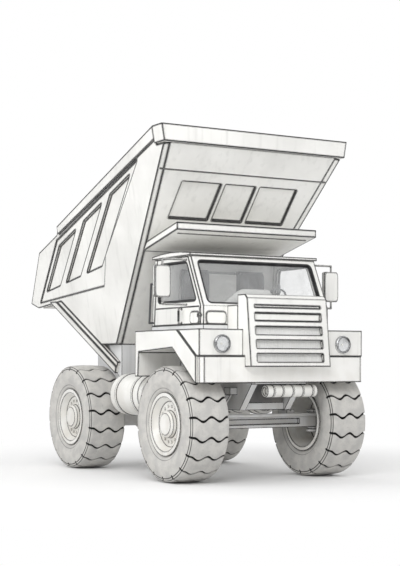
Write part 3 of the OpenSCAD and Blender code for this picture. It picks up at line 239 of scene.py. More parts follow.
FLAT_COSINE, EDGE_COSINE = 0.996, 0.972


def edge_line(tree, width):
    """1 along each edge and 0 on the flats, from how far the rounded normal turns."""
    rounded = add(tree, "ShaderNodeBevel", {"Radius": width}, samples=8).outputs[0]
    true = add(tree, "ShaderNodeNewGeometry").outputs["Normal"]
    turn = add(tree, "ShaderNodeVectorMath", {0: rounded, 1: true}, operation="DOT_PRODUCT")
    return stretch(tree, turn.outputs["Value"], FLAT_COSINE, EDGE_COSINE)


def bump(tree, value, strength, distance):
    """Normal bent by a value, as if the surface rose by distance metres where the value is 1."""
    sockets = {"Height": value, "Strength": strength, "Distance": distance}
    return add(tree, "ShaderNodeBump", sockets).outputs[0]


def new_finish(name):
    """A material with one Principled shader, as (material, tree, shader)."""
    material = bpy.data.materials.new(name)
    material.use_nodes = True
    tree = material.node_tree
    return material, tree, tree.nodes["Principled BSDF"]

# %% [markdown]
# Almost the whole truck is painted plate. Machine paint is not one colour: it fades in patches, rain draws
# streaks down it, dust gathers low down, and it goes near black along every edge: worn through on the outer
# edges, and painted shade in the inner corners and folds. The dark edge matters most here, because in the
# picture each plate is told from the next by its dark outline.

# %% Painted plate
DUST = (0.46, 0.40, 0.31)
# Near black: the edge lines (painted shade in the inner corners, worn paint on the outer edges) and the dial
# marks.
NEAR_BLACK = (0.012, 0.012, 0.013)


def machine_paint(name, base, faded, dust_top, dust_most, line, gloss=0.42):
    """Faded, streaked and dusty paint, near black along its edges: worn on the outer edges, painted shade in
    the inner corners. Dust fades out at dust_top metres.
    """
    material, tree, shader = new_finish(name)
    patch = stretch(tree, spread(tree, 0.9), 0.35, 0.68)
    streak = stretch(tree, spread(tree, 1.0, 3.0, (9, 9, 0.7)), 0.52, 0.75, 0.0, 0.35)
    low = stretch(tree, height(tree), 0.3, dust_top, dust_most, 0.0)
    dusty = times(tree, low, stretch(tree, spread(tree, 5.0, 6.0), 0.38, 0.62, 0.25, 1.0))
    edge = edge_line(tree, line)
    tone = blend(tree, patch, base, faded)
    tone = blend(tree, streak, tone, tuple(0.8 * v for v in faded))
    tone = blend(tree, dusty, tone, DUST)
    # Near black along every edge: worn through on the outer edges, painted shade in the inner corners and
    # folds.
    tone = blend(tree, edge, tone, NEAR_BLACK)
    tree.links.new(tone, shader.inputs["Base Color"])
    rough = stretch(tree, spread(tree, 14.0, 5.0), 0.3, 0.7, gloss - 0.08, gloss + 0.14)
    tree.links.new(rough, shader.inputs["Roughness"])
    tree.links.new(bump(tree, spread(tree, 90.0, 2.0), 0.08, 0.002), shader.inputs["Normal"])
    return material


PLATE_LINE = 0.044
BED_LINE = 0.056
RIM_LINE = 0.026
FRAME_LINE = 0.022
FINE_LINE = 0.004
white_paint = machine_paint("white_paint", (0.86, 0.855, 0.83), (0.76, 0.755, 0.73), 2.6, 0.28, PLATE_LINE)
bed_paint = machine_paint("bed_paint", (0.84, 0.835, 0.81), (0.73, 0.725, 0.70), 3.4, 0.22, BED_LINE)
rim_paint = machine_paint("rim_paint", (0.82, 0.815, 0.79), (0.72, 0.715, 0.69), 2.2, 0.30, RIM_LINE)
frame_paint = machine_paint("frame_paint", (0.70, 0.705, 0.71), (0.60, 0.605, 0.61), 2.4, 0.34, FRAME_LINE,
                            gloss=0.5)
black_paint = machine_paint("black_paint", (0.045, 0.046, 0.05), (0.075, 0.076, 0.08), 1.0, 0.1, FINE_LINE,
                            gloss=0.4)
print("paints ready")

# %% [markdown]
# Bare steel shows on the hoist rods, the rear struts and the lamp rims. Grinding leaves fine lines round the
# rods, which a stretched noise gives, and oil darkens it in patches. The same function, with its noise drawn
# out along the truck, gives the bed's floor, which stone has scraped bright. The engine, the radiator's core
# and its screen are painted metal, so they come from the paint's function.

# %% Steel and iron
EVEN = (1, 1, 1)


def bare_steel(name, bright, dull, rough, grain=EVEN, oily=0.55, line=0.008, patch=EVEN):
    """Lines of the grain between bright and dull, and oily patches; oily is how dark they are."""
    material, tree, shader = new_finish(name)
    lines = spread(tree, 60.0, 3.0, grain)
    stain = stretch(tree, spread(tree, 6.0, 5.0, patch), 0.45, 0.7)
    tone = blend(tree, stain, blend(tree, lines, bright, dull), tuple(oily * v for v in dull))
    # Near black along every edge, as on the paint: painted shade in the inner corners, a dark outline on the
    # outer edges.
    tone = blend(tree, edge_line(tree, line), tone, NEAR_BLACK)
    tree.links.new(tone, shader.inputs["Base Color"])
    tree.links.new(stretch(tree, lines, 0.2, 0.8, rough, rough + 0.2), shader.inputs["Roughness"])
    tree.links.new(bump(tree, lines, 0.12, 0.001), shader.inputs["Normal"])
    shader.inputs["Metallic"].default_value = 1.0
    return material


ground_steel = bare_steel("ground_steel", (0.72, 0.73, 0.74), (0.55, 0.56, 0.57), 0.22, (1, 1, 6))
lamp_steel = bare_steel("lamp_steel", (0.82, 0.83, 0.84), (0.66, 0.67, 0.68), 0.14)
bezel_steel = bare_steel("bezel_steel", (0.80, 0.81, 0.82), (0.62, 0.63, 0.64), 0.2, line=0.02)
scraped_steel = bare_steel("scraped_steel", (0.60, 0.59, 0.57), (0.40, 0.39, 0.37), 0.38, (0.04, 0.7, 0.3),
                           oily=0.94, patch=(0.14, 1.0, 0.3))
mirror_face = bare_steel("mirror_face", (0.90, 0.91, 0.92), (0.86, 0.87, 0.88), 0.03)
cast_iron = machine_paint("cast_iron", (0.10, 0.10, 0.105), (0.16, 0.155, 0.15), 2.2, 0.35, 0.01, gloss=0.6)
core_metal = machine_paint("core_metal", (0.20, 0.205, 0.21), (0.28, 0.285, 0.29), 2.6, 0.2, 0.006, gloss=0.55)
fin_metal = machine_paint("fin_metal", (0.82, 0.82, 0.81), (0.74, 0.74, 0.73), 2.0, 0.15, 0.003, gloss=0.45)
print("metals ready")

# %% [markdown]
# Window glass is clear, with a faint film of dust that wipers and rain leave in patches. A part-clear shader
# lets the light into the cab without the noise that bent light would bring. The lamp glass is the same with
# more film, and with upright ribs that a wave pattern bends into its normal.

# %% Glass
GLASS_IOR = 1.5
WAVES_PER_SCALE = 20


def film_glass(name, tint, clear, dusty, flutes=0.0):
    """Part-clear glass: the share that blocks light goes from clear to dusty in patches.

    flutes is how many upright ribs a metre has, for lamp glass."""
    material, tree, shader = new_finish(name)
    film = stretch(tree, spread(tree, 3.0, 6.0), 0.4, 0.75)
    tree.links.new(blend(tree, film, tint, tuple(0.88 * v for v in tint)), shader.inputs["Base Color"])
    tree.links.new(stretch(tree, film, 0, 1, clear, dusty), shader.inputs["Alpha"])
    tree.links.new(stretch(tree, film, 0, 1, 0.03, 0.3), shader.inputs["Roughness"])
    if flutes:
        place = add(tree, "ShaderNodeTexCoord").outputs["Object"]
        sockets = {"Vector": place, "Scale": flutes / WAVES_PER_SCALE * math.pi}
        ribs = add(tree, "ShaderNodeTexWave", sockets, bands_direction="Y")
        tree.links.new(bump(tree, ribs.outputs["Fac"], 0.5, 0.004), shader.inputs["Normal"])
    shader.inputs["IOR"].default_value = GLASS_IOR
    return material


window_glass = film_glass("window_glass", (0.94, 0.955, 0.96), 0.13, 0.19)
lamp_glass = film_glass("lamp_glass", (0.90, 0.91, 0.90), 0.24, 0.32, flutes=50)
print("glass ready")

# %% [markdown]
# Inside the cab are moulded plastic, with its fine leathery grain, and vinyl seats. An image of leather would
# have to be laid out on each piece. A cell pattern in metres needs no layout, so it gives the bump here, with
# smaller cells on the vinyl.

# %% Plastic and vinyl
def grained(name, base, worn, cell, depth, rough):
    """Cells of grain, cell to the metre and depth metres deep, and rubbed patches that shine more."""
    material, tree, shader = new_finish(name)
    place = add(tree, "ShaderNodeTexCoord").outputs["Object"]
    cells = add(tree, "ShaderNodeTexVoronoi", {"Vector": place, "Scale": cell}).outputs[0]
    rub = stretch(tree, spread(tree, 7.0, 5.0), 0.45, 0.75)
    tree.links.new(blend(tree, rub, base, worn), shader.inputs["Base Color"])
    tree.links.new(stretch(tree, rub, 0, 1, rough, rough - 0.15), shader.inputs["Roughness"])
    tree.links.new(bump(tree, cells, 0.4, depth), shader.inputs["Normal"])
    return material


cab_plastic = grained("cab_plastic", (0.10, 0.105, 0.11), (0.16, 0.165, 0.17), 260, 0.0008, 0.6)
pale_plastic = grained("pale_plastic", (0.62, 0.62, 0.60), (0.70, 0.70, 0.68), 260, 0.0008, 0.55)
seat_vinyl = grained("seat_vinyl", (0.055, 0.056, 0.06), (0.10, 0.10, 0.105), 420, 0.0006, 0.5)
seal_rubber = grained("seal_rubber", (0.016, 0.016, 0.017), (0.035, 0.035, 0.036), 300, 0.0004, 0.65)
print("plastics ready")

# %% [markdown]
# Now each solid gets its finish. The table goes by the start of a node's name, and the longest start that
# fits is taken, so one row can serve a left and a right piece.

# %% Finishes of the solids
FINISH_BY_START = {
    "frame_rails": frame_paint, "cross_members": frame_paint, "front_axle": frame_paint,
    "front_struts": frame_paint, "rear_axle": frame_paint, "rear_struts": ground_steel,
    "engine": cast_iron, "bumper": white_paint, "air_receiver": rim_paint, "tanks": white_paint,
    "rear_hitch": frame_paint, "radiator_shell": white_paint, "radiator_core": core_metal,
    "bonnet": white_paint, "fenders": white_paint, "headlamp_bezels": bezel_steel,
    "headlamp_lenses": lamp_glass, "cab_floor": frame_paint, "cab_front": white_paint,
    "cab_back": white_paint, "cab_roof": white_paint, "cab_glass": window_glass,
    "dashboard": cab_plastic, "steering_wheel": cab_plastic, "seat_frames": black_paint,
    "seat_cushions": seat_vinyl, "grab_rails": black_paint, "door_glass": window_glass,
    "door_right": white_paint, "door_left": white_paint, "mirror": white_paint,
    "bed_beams": frame_paint, "bed": bed_paint, "bed_floor": scraped_steel,
    "hoist_barrel": frame_paint, "hoist_rod": ground_steel,
    "knuckle": frame_paint, "tie_rod": frame_paint, "rim": rim_paint, "tyre": seal_rubber,
}
for node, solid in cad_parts.items():
    start = max((s for s in FINISH_BY_START if node.startswith(s)), key=len)
    solid.data.materials.clear()
    solid.data.materials.append(FINISH_BY_START[start])
print("finished", len(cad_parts), "solids")

# %% [markdown]
# The tyres are the truck's strongest feature: wide, with eighteen lugs that run right across the tread and
# part at wavy grooves. One formula gives the whole tyre. Across it, a section runs from bead to bead over
# the bulge and the shoulders. Round it, each lug takes thirteen steps, close together at the groove's walls,
# and the whole row is shifted by a cosine of the place across, so the grid itself follows the wave and the
# walls stay crisp. A value on each point says how deep in a groove it lies, and the rubber is painted with
# shade by it: dusty on top, and black below and in the fine rings round the side wall.

# %% Tyre rubber
def tyre_rubber():
    """Dusty rubber with painted shade: black with the depth of the groove and in the fine rings."""
    material, tree, shader = new_finish("tyre_rubber")
    depth = add(tree, "ShaderNodeAttribute", attribute_name="groove").outputs["Fac"]
    dusty = stretch(tree, spread(tree, 6.0, 7.0), 0.35, 0.65)
    tone = blend(tree, dusty, (0.47, 0.462, 0.445), (0.56, 0.547, 0.52))
    scuff = stretch(tree, spread(tree, 45.0, 5.0), 0.56, 0.74, 0.0, 0.4)
    tone = blend(tree, scuff, tone, (0.28, 0.275, 0.265))
    # Painted shade: the rubber goes black down in the grooves and in the rings round the side wall.
    tone = blend(tree, stretch(tree, depth, 0.12, 0.5), tone, (0.012, 0.012, 0.012))
    tree.links.new(tone, shader.inputs["Base Color"])
    tree.links.new(stretch(tree, spread(tree, 25.0), 0.3, 0.7, 0.72, 0.92), shader.inputs["Roughness"])
    tree.links.new(bump(tree, spread(tree, 120.0, 4.0), 0.3, 0.004), shader.inputs["Normal"])
    return material


rubber = tyre_rubber()
LUGS = 18
TREAD_R = 0.9375
TREAD_HALF = 0.30
GROOVE_DEPTH = 0.058
GROOVE_HALF = 0.023
GROOVE_SWING = 0.036
GROOVE_STEPS = np.array([-0.029, -0.0225, -0.017, -0.011, 0.011, 0.017, 0.0225, 0.029])
GROOVE_FLOOR, GROOVE_WALL = 0.010, 0.014
LUG_STEPS = 5
SHOULDER_DROP, SHOULDER_FADE = 0.030, 0.085
RING_LINES = (0.585, 0.868, 0.902)
RING_HALF, RING_DEPTH, RING_SHADE = 0.010, 0.004, 0.7
SECTION = np.array([
    (0.264, 0.473), (0.300, 0.516), (0.330, 0.5475), (0.356, 0.615), (0.375, 0.690), (0.371, 0.760),
    (0.3575, 0.830), (0.3375, 0.895), (0.322, 0.915), (0.300, 0.9245), (0.20, 0.9320), (0.10, 0.9365),
    (0.0, TREAD_R),
])


def smooth(x):
    """0 to 1 with level ends."""
    x = np.clip(x, 0, 1)
    return x * x * (3 - 2 * x)


def tyre_section(columns=121):
    """y and radius of evenly spaced points along the section, from bead to bead."""
    keys = np.concatenate([SECTION * (-1, 1), SECTION[-2::-1]])
    along = np.concatenate([[0], np.cumsum(np.linalg.norm(np.diff(keys, axis=0), axis=1))])
    even = np.linspace(0, along[-1], columns)
    return np.interp(even, along, keys[:, 0]), np.interp(even, along, keys[:, 1])


def tyre_points(centre):
    """Points (round, across) of a tyre, and at each the value of its painted shade: the groove's depth and the
    rings.

    Angle = lug number * pitch + step / radius + swing * (cosine of the place across - 1), from straight
    down. Radius = section - depth * dip - ring, where the dip is 1 at the groove's bottom, 0 past its walls,
    and dies away over the shoulder, and the ring is a fine line round the side wall."""
    y, radius = tyre_section()
    pitch = 2 * math.pi / LUGS
    edge = GROOVE_STEPS[-1]
    step = np.concatenate([GROOVE_STEPS, np.linspace(edge, pitch * TREAD_R - edge, LUG_STEPS + 2)[1:-1]])
    rows = (np.arange(LUGS)[:, None] * pitch + step[None] / TREAD_R).reshape(-1) - GROOVE_HALF / TREAD_R
    share = np.clip(y / TREAD_HALF, -1, 1)
    swing = GROOVE_SWING / TREAD_R * (np.cos(2 * math.pi * share) - 1)
    dip = np.tile(1 - smooth((np.abs(step) - GROOVE_FLOOR) / GROOVE_WALL), LUGS)[:, None]
    dip = dip * (1 - smooth((TREAD_R - SHOULDER_DROP - radius) / SHOULDER_FADE))[None]
    ring = np.max([1 - smooth(np.abs(radius - at) / RING_HALF) for at in RING_LINES], 0)
    turn = rows[:, None] + swing[None]
    r = radius[None] - GROOVE_DEPTH * dip - RING_DEPTH * ring[None]
    points = np.stack([r * np.sin(turn), np.broadcast_to(y, r.shape), -r * np.cos(turn)], -1)
    # The second array is painted shade: 1 at a groove's bottom and RING_SHADE in the rings.
    return points + centre, np.maximum(dip, RING_SHADE * ring[None])


PLACES = ("front_right", "front_left", "rear_right", "rear_left")
for place in PLACES:
    points, groove = tyre_points(sum(box_of("tyre_" + place)) / 2)
    tread = surface("tread_" + place, points, "wheel_" + place, rubber, wrap_rows=True, crease=50)
    mark = tread.data.attributes.new("groove", "FLOAT", "POINT")
    mark.data.foreach_set("value", groove.reshape(-1).astype(np.float32))
    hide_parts("tyre_" + place)

# %% [markdown]
# Each rim is held by a ring of bolts on its disc, painted over with the rim. A bolt head is a profile spun
# round its axis. The radius of a hexagon grows from the middle of a flat to the corner as one over a cosine, so
# the same spin gives the washer as a circle and the head as a hexagon. All the heads of a wheel make one mesh.

# %% Bolt heads
HEAD = np.array([(1.42, 0.0), (1.42, 0.22), (1.0, 0.22), (1.0, 0.86), (0.84, 1.0), (0.0, 1.0)])
HEAD_STEPS = 12
WASHER_FROM = 1.2


def bolt_heads(places, axis, size, rise):
    """Hexagon heads on round washers. Radius share = 1 / cos(angle from the nearest flat's middle)."""
    angle = np.linspace(0, 2 * math.pi, HEAD_STEPS, endpoint=False)
    hexagon = 1 / np.cos((angle + math.pi / 6) % (math.pi / 3) - math.pi / 6)
    shape = np.where(HEAD[:, 0][None] > WASHER_FROM, 1.0, hexagon[:, None])
    return turned(HEAD * (size, rise), places, axis, HEAD_STEPS, shape)


def ring_of(centre, radius, out, count):
    """Places on a circle round a wheel's axis, at distance out along y."""
    angle = np.linspace(0, 2 * math.pi, count, endpoint=False) + math.pi / count
    return centre + np.stack([radius * np.sin(angle), np.full(count, out), radius * np.cos(angle)], -1)


bolt_paint = machine_paint("bolt_paint", (0.80, 0.795, 0.77), (0.68, 0.675, 0.65), 2.2, 0.35, FINE_LINE)
BOLT_RING_R, BOLT_OUT, BOLT_COUNT = 0.290, 0.219, 16
BOLT_SIZE, BOLT_RISE = 0.019, 0.022
for place in PLACES:
    outward = -1 if place.endswith("right") else 1
    centre = sum(box_of("tyre_" + place)) / 2
    ring = ring_of(centre, BOLT_RING_R, outward * BOLT_OUT, BOLT_COUNT)
    heads = bolt_heads(ring, (0, outward, 0), BOLT_SIZE, BOLT_RISE)
    surface("wheel_bolts_" + place, heads, "wheel_" + place, bolt_paint, wrap_rows=True, closed=True)

# %% [markdown]
# Black rubber holds the glass in its openings. The outline of each pane is already there in its solid: the
# points of the outer face, put in order by their angle round the middle. A profile shaped like a step is
# carried along that outline, lying on the wall outside, folding in over the edge and down onto the glass.

# %% Window seals
RECESS = 0.034
FACE_DEPTH = 0.002
SEAL = np.array([
    (0.021, RECESS), (0.021, RECESS + 0.006), (0.009, RECESS + 0.010), (-0.005, RECESS + 0.004),
    (-0.007, 0.006), (-0.024, 0.005), (-0.024, 0.0006), (-0.0006, 0.0006), (-0.0006, RECESS),
])


def pane_outline(points, outward):
    """The outer face's points in order round the pane, and the face's normal."""
    points = np.unique(points.round(4), axis=0)
    middle = points.mean(0)
    normal = np.linalg.svd(points - middle)[2][2]
    normal = normal * np.sign(normal @ np.asarray(outward, float))
    depth = points @ normal
    face = points[depth > depth.max() - FACE_DEPTH]
    across = np.cross(normal, (0, 0, 1.0))
    across = across / np.linalg.norm(across)
    up = np.cross(across, normal)
    flat = face - face.mean(0)
    return face[np.argsort(np.arctan2(flat @ up, flat @ across))], normal


def along_outline(ring, normal, profile):
    """Profile carried round a flat outline: point = corner + offset * outward mitre + rise * normal."""
    edge = np.roll(ring, -1, 0) - ring
    edge = edge / np.linalg.norm(edge, axis=1, keepdims=True)
    side = np.cross(edge, normal)
    side = side * np.sign(np.sum(side * (ring - ring.mean(0)), 1))[:, None]
    before = np.roll(side, 1, 0)
    mitre = (side + before) / (1 + np.sum(side * before, 1))[:, None]
    return ring[:, None] + profile[None, :, :1] * mitre[:, None] + profile[None, :, 1:] * normal


panes = node_points("cab_glass")
screen = panes[:, 0] > panes[:, 0].mean()
PANES = (("windscreen", panes[screen], (1, 0, 0.3), "chassis"),
         ("rear_window", panes[~screen], (-1, 0, 0), "chassis"),
         ("right_window", node_points("door_glass_right"), (0, -1, 0), "door_right"),
         ("left_window", node_points("door_glass_left"), (0, 1, 0), "door_left"))
for name, points, outward, body in PANES:
    ring, normal = pane_outline(points, outward)
    surface("seal_" + name, along_outline(ring, normal, SEAL), body, seal_rubber,
            wrap_rows=True, wrap_cols=True, closed=True, crease=50)

# %% [markdown]
# Behind each lamp glass sits a bright bowl with a bulb. A bowl that throws light forward is a paraboloid, its
# depth growing with the square of the radius. The bulb is a small spun profile at its focus.

# %% Lamp bowls
lamp_low, lamp_high = box_of("headlamp_bezels")
lamp_r = (lamp_high[2] - lamp_low[2]) / 2
BOWL_MARGIN, BOWL_BACK, BOWL_DEPTH, BOWL_SHEET = 0.030, 0.004, 0.026, 0.0025
BULB_R, BULB_AT = 0.013, 0.018
BULB_FOOT = [(0.0, 0.004), (0.016, 0.004), (0.016, 0.012), (0.013, 0.014)]
bulb_glass = film_glass("bulb_glass", (0.95, 0.93, 0.86), 0.75, 0.80)
for side, y in (("right", lamp_low[1] + lamp_r), ("left", lamp_high[1] - lamp_r)):
    place = np.array([lamp_low[0], y, (lamp_low[2] + lamp_high[2]) / 2])
    r = np.linspace(0.0, lamp_r - BOWL_MARGIN, 14)
    bowl = np.stack([r, BOWL_BACK + BOWL_DEPTH * (r / r[-1]) ** 2], -1)
    shell = np.concatenate([bowl, (bowl - (0.0, BOWL_SHEET))[::-1]])
    surface("lamp_bowl_" + side, turned(shell, place, (1, 0, 0), 48), "chassis", lamp_steel,
            wrap_rows=True, closed=True)
    t = np.linspace(0, math.pi / 2, 7)
    bulb = np.concatenate([BULB_FOOT, np.stack([BULB_R * np.cos(t), BULB_AT + BULB_R * np.sin(t)], -1)])
    surface("lamp_bulb_" + side, turned(bulb, place, (1, 0, 0), 20), "chassis", bulb_glass,
            wrap_rows=True, closed=True)

# %% [markdown]
# Behind the slots of the radiator shell stands a pale screen of folded sheet that keeps stones from the
# core. It leans as the shell's face does. A cosine across the truck folds it, and a second sheet a few
# millimetres behind closes it.

# %% Radiator screen
SCREEN_HALF, SCREEN_LOW, SCREEN_TOP, SCREEN_BEHIND, SCREEN_SHEET = 0.69, 0.062, 0.075, 0.012, 0.003
FOLD_DEPTH, FOLD_PITCH = 0.022, 0.034
SHELL_RAKE, SHELL_CROWN, SHELL_WALL = 0.120, 0.060, 0.055


def folded_screen(half, low, high, depth, pitch, front):
    """x = front at that height - depth * (1 + cosine of the place across), on a grid of height and width."""
    y = np.linspace(-half, half, int(round(2 * half / pitch)) * 8 + 1)
    z = np.linspace(low, high, 9)
    x = front(z)[:, None] - depth / 2 * (1 + np.cos(2 * math.pi * y / pitch))[None]
    sheet = np.stack([x, np.broadcast_to(y, x.shape), np.broadcast_to(z[:, None], x.shape)], -1)
    return np.concatenate([sheet, (sheet - (SCREEN_SHEET, 0, 0))[::-1]])


shell_low, shell_high = box_of("radiator_shell")
face_height = shell_high[2] - shell_low[2] - SHELL_CROWN


def behind_shell(z):
    """x of the screen's front at a height: the shell's raked face, less its wall and a gap."""
    return shell_high[0] - SHELL_WALL - SCREEN_BEHIND - SHELL_RAKE * (z - shell_low[2]) / face_height


stone_screen = folded_screen(SCREEN_HALF, shell_low[2] + SCREEN_LOW, shell_high[2] - SCREEN_TOP,
                             FOLD_DEPTH, FOLD_PITCH, behind_shell)
surface("radiator_screen", stone_screen, "chassis", fin_metal, wrap_rows=True, closed=True, crease=80)

# %% [markdown]
# The two seats have a pad to sit on and a pad to lean on, in vinyl with two sewn channels. A pad is a closed
# form that is crowned on top, pulled in a little along its sides and flat underneath. Simulated cloth under
# pressure could puff it up, but behind dusty glass a formula does as well and gives the same pad each time.
# One parameter goes round its outline, a squared-off circle, and the other from the middle of its back, over
# the seam, to the middle of its top.

# %% Seat pads
PAD_SQUARE, PAD_PULL = 0.36, 0.028
SEAM, SEAM_RISE = 0.94, 0.72
CHANNEL_HALF, CHANNEL_DEPTH = 0.012, 0.10


def squared_circle(steps, power):
    """Angle, and the shares across and up of a circle squared off: cosine and sine raised to a power."""
    angle = np.linspace(0, 2 * math.pi, steps, endpoint=False)[:, None]
    c, s = np.cos(angle), np.sin(angle)
    return angle, np.sign(c) * np.abs(c) ** power, np.sign(s) * np.abs(s) ** power


def pad_points(middle, half_u, half_v, thick, u, v, w, rows=72, cols=34):
    """Outline = squared circle, pulled in by a cosine between its corners; height = a crown that falls with
    the distance from the middle, less two channels. middle is the centre of the pad's flat back.

    The first quarter of the columns is the back, the second the side and the rest the top."""
    angle, across, along = squared_circle(rows, PAD_SQUARE)
    pull = 1 - PAD_PULL * np.cos(2 * angle) ** 2
    t = np.linspace(0, 1, cols)[None]
    back = smooth(t / 0.25) * SEAM
    bulge = SEAM + (1 - SEAM) * np.sin(np.clip((t - 0.25) / 0.25, 0, 1) * math.pi) ** 0.6
    crown = SEAM * (1 - np.clip((t - 0.5) / 0.5, 0, 1))
    scale = np.where(t < 0.25, back, np.where(t < 0.5, bulge, crown))
    wall = SEAM_RISE * smooth((t - 0.25) / 0.25)
    dome = SEAM_RISE + (1 - SEAM_RISE) * (1 - (scale / SEAM) ** 3)
    rise = thick * np.broadcast_to(np.where(t < 0.25, 0.0, np.where(t < 0.5, wall, dome)), (rows, cols))
    place = half_v * along * pull * scale
    channel = np.exp(-((np.abs(place) - half_v / 3) / CHANNEL_HALF) ** 2) * smooth((t - 0.55) / 0.1)
    rise = rise - CHANNEL_DEPTH * thick * channel
    return (middle + (half_u * across * pull * scale)[..., None] * np.array(u) + place[..., None] * np.array(v)
            + rise[..., None] * np.array(w))


pads_low, pads_high = box_of("seat_cushions")
SEAT_W, SEAT_L, PAD_T, BACK_T = 0.52, 0.50, 0.13, 0.11
for side, y in (("right", pads_low[1] + SEAT_W / 2), ("left", pads_high[1] - SEAT_W / 2)):
    seat = pad_points(np.array([pads_low[0] + SEAT_L / 2, y, pads_low[2]]), SEAT_L / 2, SEAT_W / 2, PAD_T,
                      (1, 0, 0), (0, 1, 0), (0, 0, 1))
    lean_z = (pads_low[2] + PAD_T + pads_high[2]) / 2
    lean_half = (pads_high[2] - pads_low[2] - PAD_T) / 2
    lean = pad_points(np.array([pads_low[0], y, lean_z]), lean_half, SEAT_W / 2, BACK_T,
                      (0, 0, 1), (0, 1, 0), (1, 0, 0))
    for name, points in (("seat_pad_", seat), ("back_pad_", lean)):
        pad = surface(name + side, points, "chassis", seat_vinyl, wrap_rows=True, closed=True)
        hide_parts("seat_cushions")

# %% [markdown]
# Small things finish the doors: a faintly domed mirror plate, a rounded cover over the mirror's front, and a
# half-round bead under the window. Plate and cover are squared circles too, drawn in towards the middle and
# lifted column by column, so one function makes both. A bevelled box would have a flat face.

# %% Mirrors and door beads
HANDS = (("right", -1), ("left", 1))
axle_x = (sum(box_of("tyre_front_right")) / 2)[0]
MIRROR_Y, MIRROR_LOW, MIRROR_HIGH = 1.665, 2.970, 3.490
MIRROR_FRONT, MIRROR_BACK = 0.060, 0.120
PLATE_HALF, PLATE_SQUARE = (0.125, 0.24), 0.30
PLATE_IN = (0.0, 0.97, 1.0, 1.0, 0.85, 0.6, 0.3, 0.0)
PLATE_RISE = (-0.002, -0.002, -0.0015, 0.002, 0.0032, 0.0042, 0.0048, 0.005)
COVER_HALF, COVER_SQUARE = (0.144, 0.259), 0.28
COVER_IN = (0.0, 1.0, 1.0, 0.985, 0.94, 0.5, 0.0)
COVER_RISE = (-0.003, -0.003, 0.0154, 0.0198, 0.022, 0.02332, 0.02376)
BEAD_FROM, BEAD_TO, BEAD_Z = axle_x - 1.10, axle_x + 0.345, 2.822
CAB_SIDE = 1.215


def squared_form(centre, across, up, out, power, drawn_in, rise, steps=64):
    """Squared circle drawn in and lifted: point = centre + (across * u + up * v) * drawn in + out * rise."""
    _, u, v = squared_circle(steps, power)
    u, v = u * np.array(drawn_in), v * np.array(drawn_in)
    lift = np.broadcast_to(rise, u.shape)
    return (centre + u[..., None] * np.array(across) + v[..., None] * np.array(up)
            + lift[..., None] * np.array(out))


def door_bead(x0, x1, y, z, outward, half=0.013, rise=0.011):
    """Half round carried along the door: y = face + rise * sine, z = middle - half * cosine, ends closed."""
    x = np.array([x0, x0, x0 + 0.012, x1 - 0.012, x1, x1])[:, None]
    fade = np.array([0.0, 0.55, 1.0, 1.0, 0.55, 0.0])[:, None]
    t = np.linspace(0, math.pi, 9)[None]
    bow = y + outward * (rise * np.sin(t) * fade - 0.001)
    drop = z - half * np.cos(t) * fade
    return np.stack([np.broadcast_to(x, bow.shape), bow, np.broadcast_to(drop, bow.shape)], -1)


mirror_z = (MIRROR_LOW + MIRROR_HIGH) / 2
for side, outward in HANDS:
    plate = squared_form((axle_x - MIRROR_BACK, outward * MIRROR_Y, mirror_z), (0, PLATE_HALF[0], 0),
                         (0, 0, PLATE_HALF[1]), (-1, 0, 0), PLATE_SQUARE, PLATE_IN, PLATE_RISE)
    surface("mirror_plate_" + side, plate, "door_" + side, mirror_face, wrap_rows=True, closed=True)
    cover = squared_form((axle_x - MIRROR_FRONT, outward * MIRROR_Y, mirror_z), (0, COVER_HALF[0], 0),
                         (0, 0, COVER_HALF[1]), (1, 0, 0), COVER_SQUARE, COVER_IN, COVER_RISE)
    surface("mirror_cover_" + side, cover, "door_" + side, white_paint,
            wrap_rows=True, closed=True)
    bead = door_bead(BEAD_FROM, BEAD_TO, outward * CAB_SIDE, BEAD_Z, outward)
    surface("door_bead_" + side, bead, "door_" + side, white_paint, wrap_cols=True, closed=True)

# %% [markdown]
# Inside, each door carries a moulded card, kept behind the end of the dashboard. It is the mirror cover's shape
# again, turned to face into the cab: a squared circle with straight sides, rounded over to a sunk flat face.

# %% Door cards
CARD_X, CARD_Z, CARD_FACE, CARD_SQUARE = (-0.98, 0.09), (2.60, 2.90), 1.135, 0.18
CARD_IN = (0.0, 1.0, 1.0, 0.99, 0.97, 0.90, 0.89, 0.5, 0.0)
CARD_RISE = (-0.001, -0.001, 0.0084, 0.01104, 0.012, 0.012, 0.0084, 0.0084, 0.0084)
for side, outward in HANDS:
    card = squared_form((axle_x + sum(CARD_X) / 2, outward * CARD_FACE, sum(CARD_Z) / 2),
                        ((CARD_X[1] - CARD_X[0]) / 2, 0, 0), (0, 0, (CARD_Z[1] - CARD_Z[0]) / 2),
                        (0, -outward, 0), CARD_SQUARE, CARD_IN, CARD_RISE, steps=96)
    surface("door_card_" + side, card, "door_" + side, cab_plastic, wrap_rows=True, closed=True)

# %% [markdown]
# The bar handle of each door wears a ribbed rubber grip. Its radius swells and shrinks with a cosine along the
# bar, and it is spun round the bar's axis.

# %% Handle grips
HANDLE_BACK, HANDLE_OUT, GRIP_LOW, GRIP_LENGTH = 0.225, 1.275, 2.590, 0.180
GRIP_R, GRIP_BORE, RIB_RISE, RIB_PITCH = 0.0185, 0.0142, 0.0012, 0.0225
up = np.linspace(0, GRIP_LENGTH, 57)
ribs = GRIP_R + RIB_RISE * np.cos(2 * math.pi * up / RIB_PITCH)
grip_profile = np.concatenate([[(GRIP_BORE, 0.0)], np.stack([ribs, up], -1), [(GRIP_BORE, GRIP_LENGTH)]])
for side, outward in HANDS:
    foot = (axle_x - HANDLE_BACK, outward * HANDLE_OUT, GRIP_LOW)
    grip = turned(grip_profile, foot, (0, 0, 1), 24)
    surface("handle_grip_" + side, grip, "door_" + side, seal_rubber,
            wrap_rows=True, wrap_cols=True, closed=True)

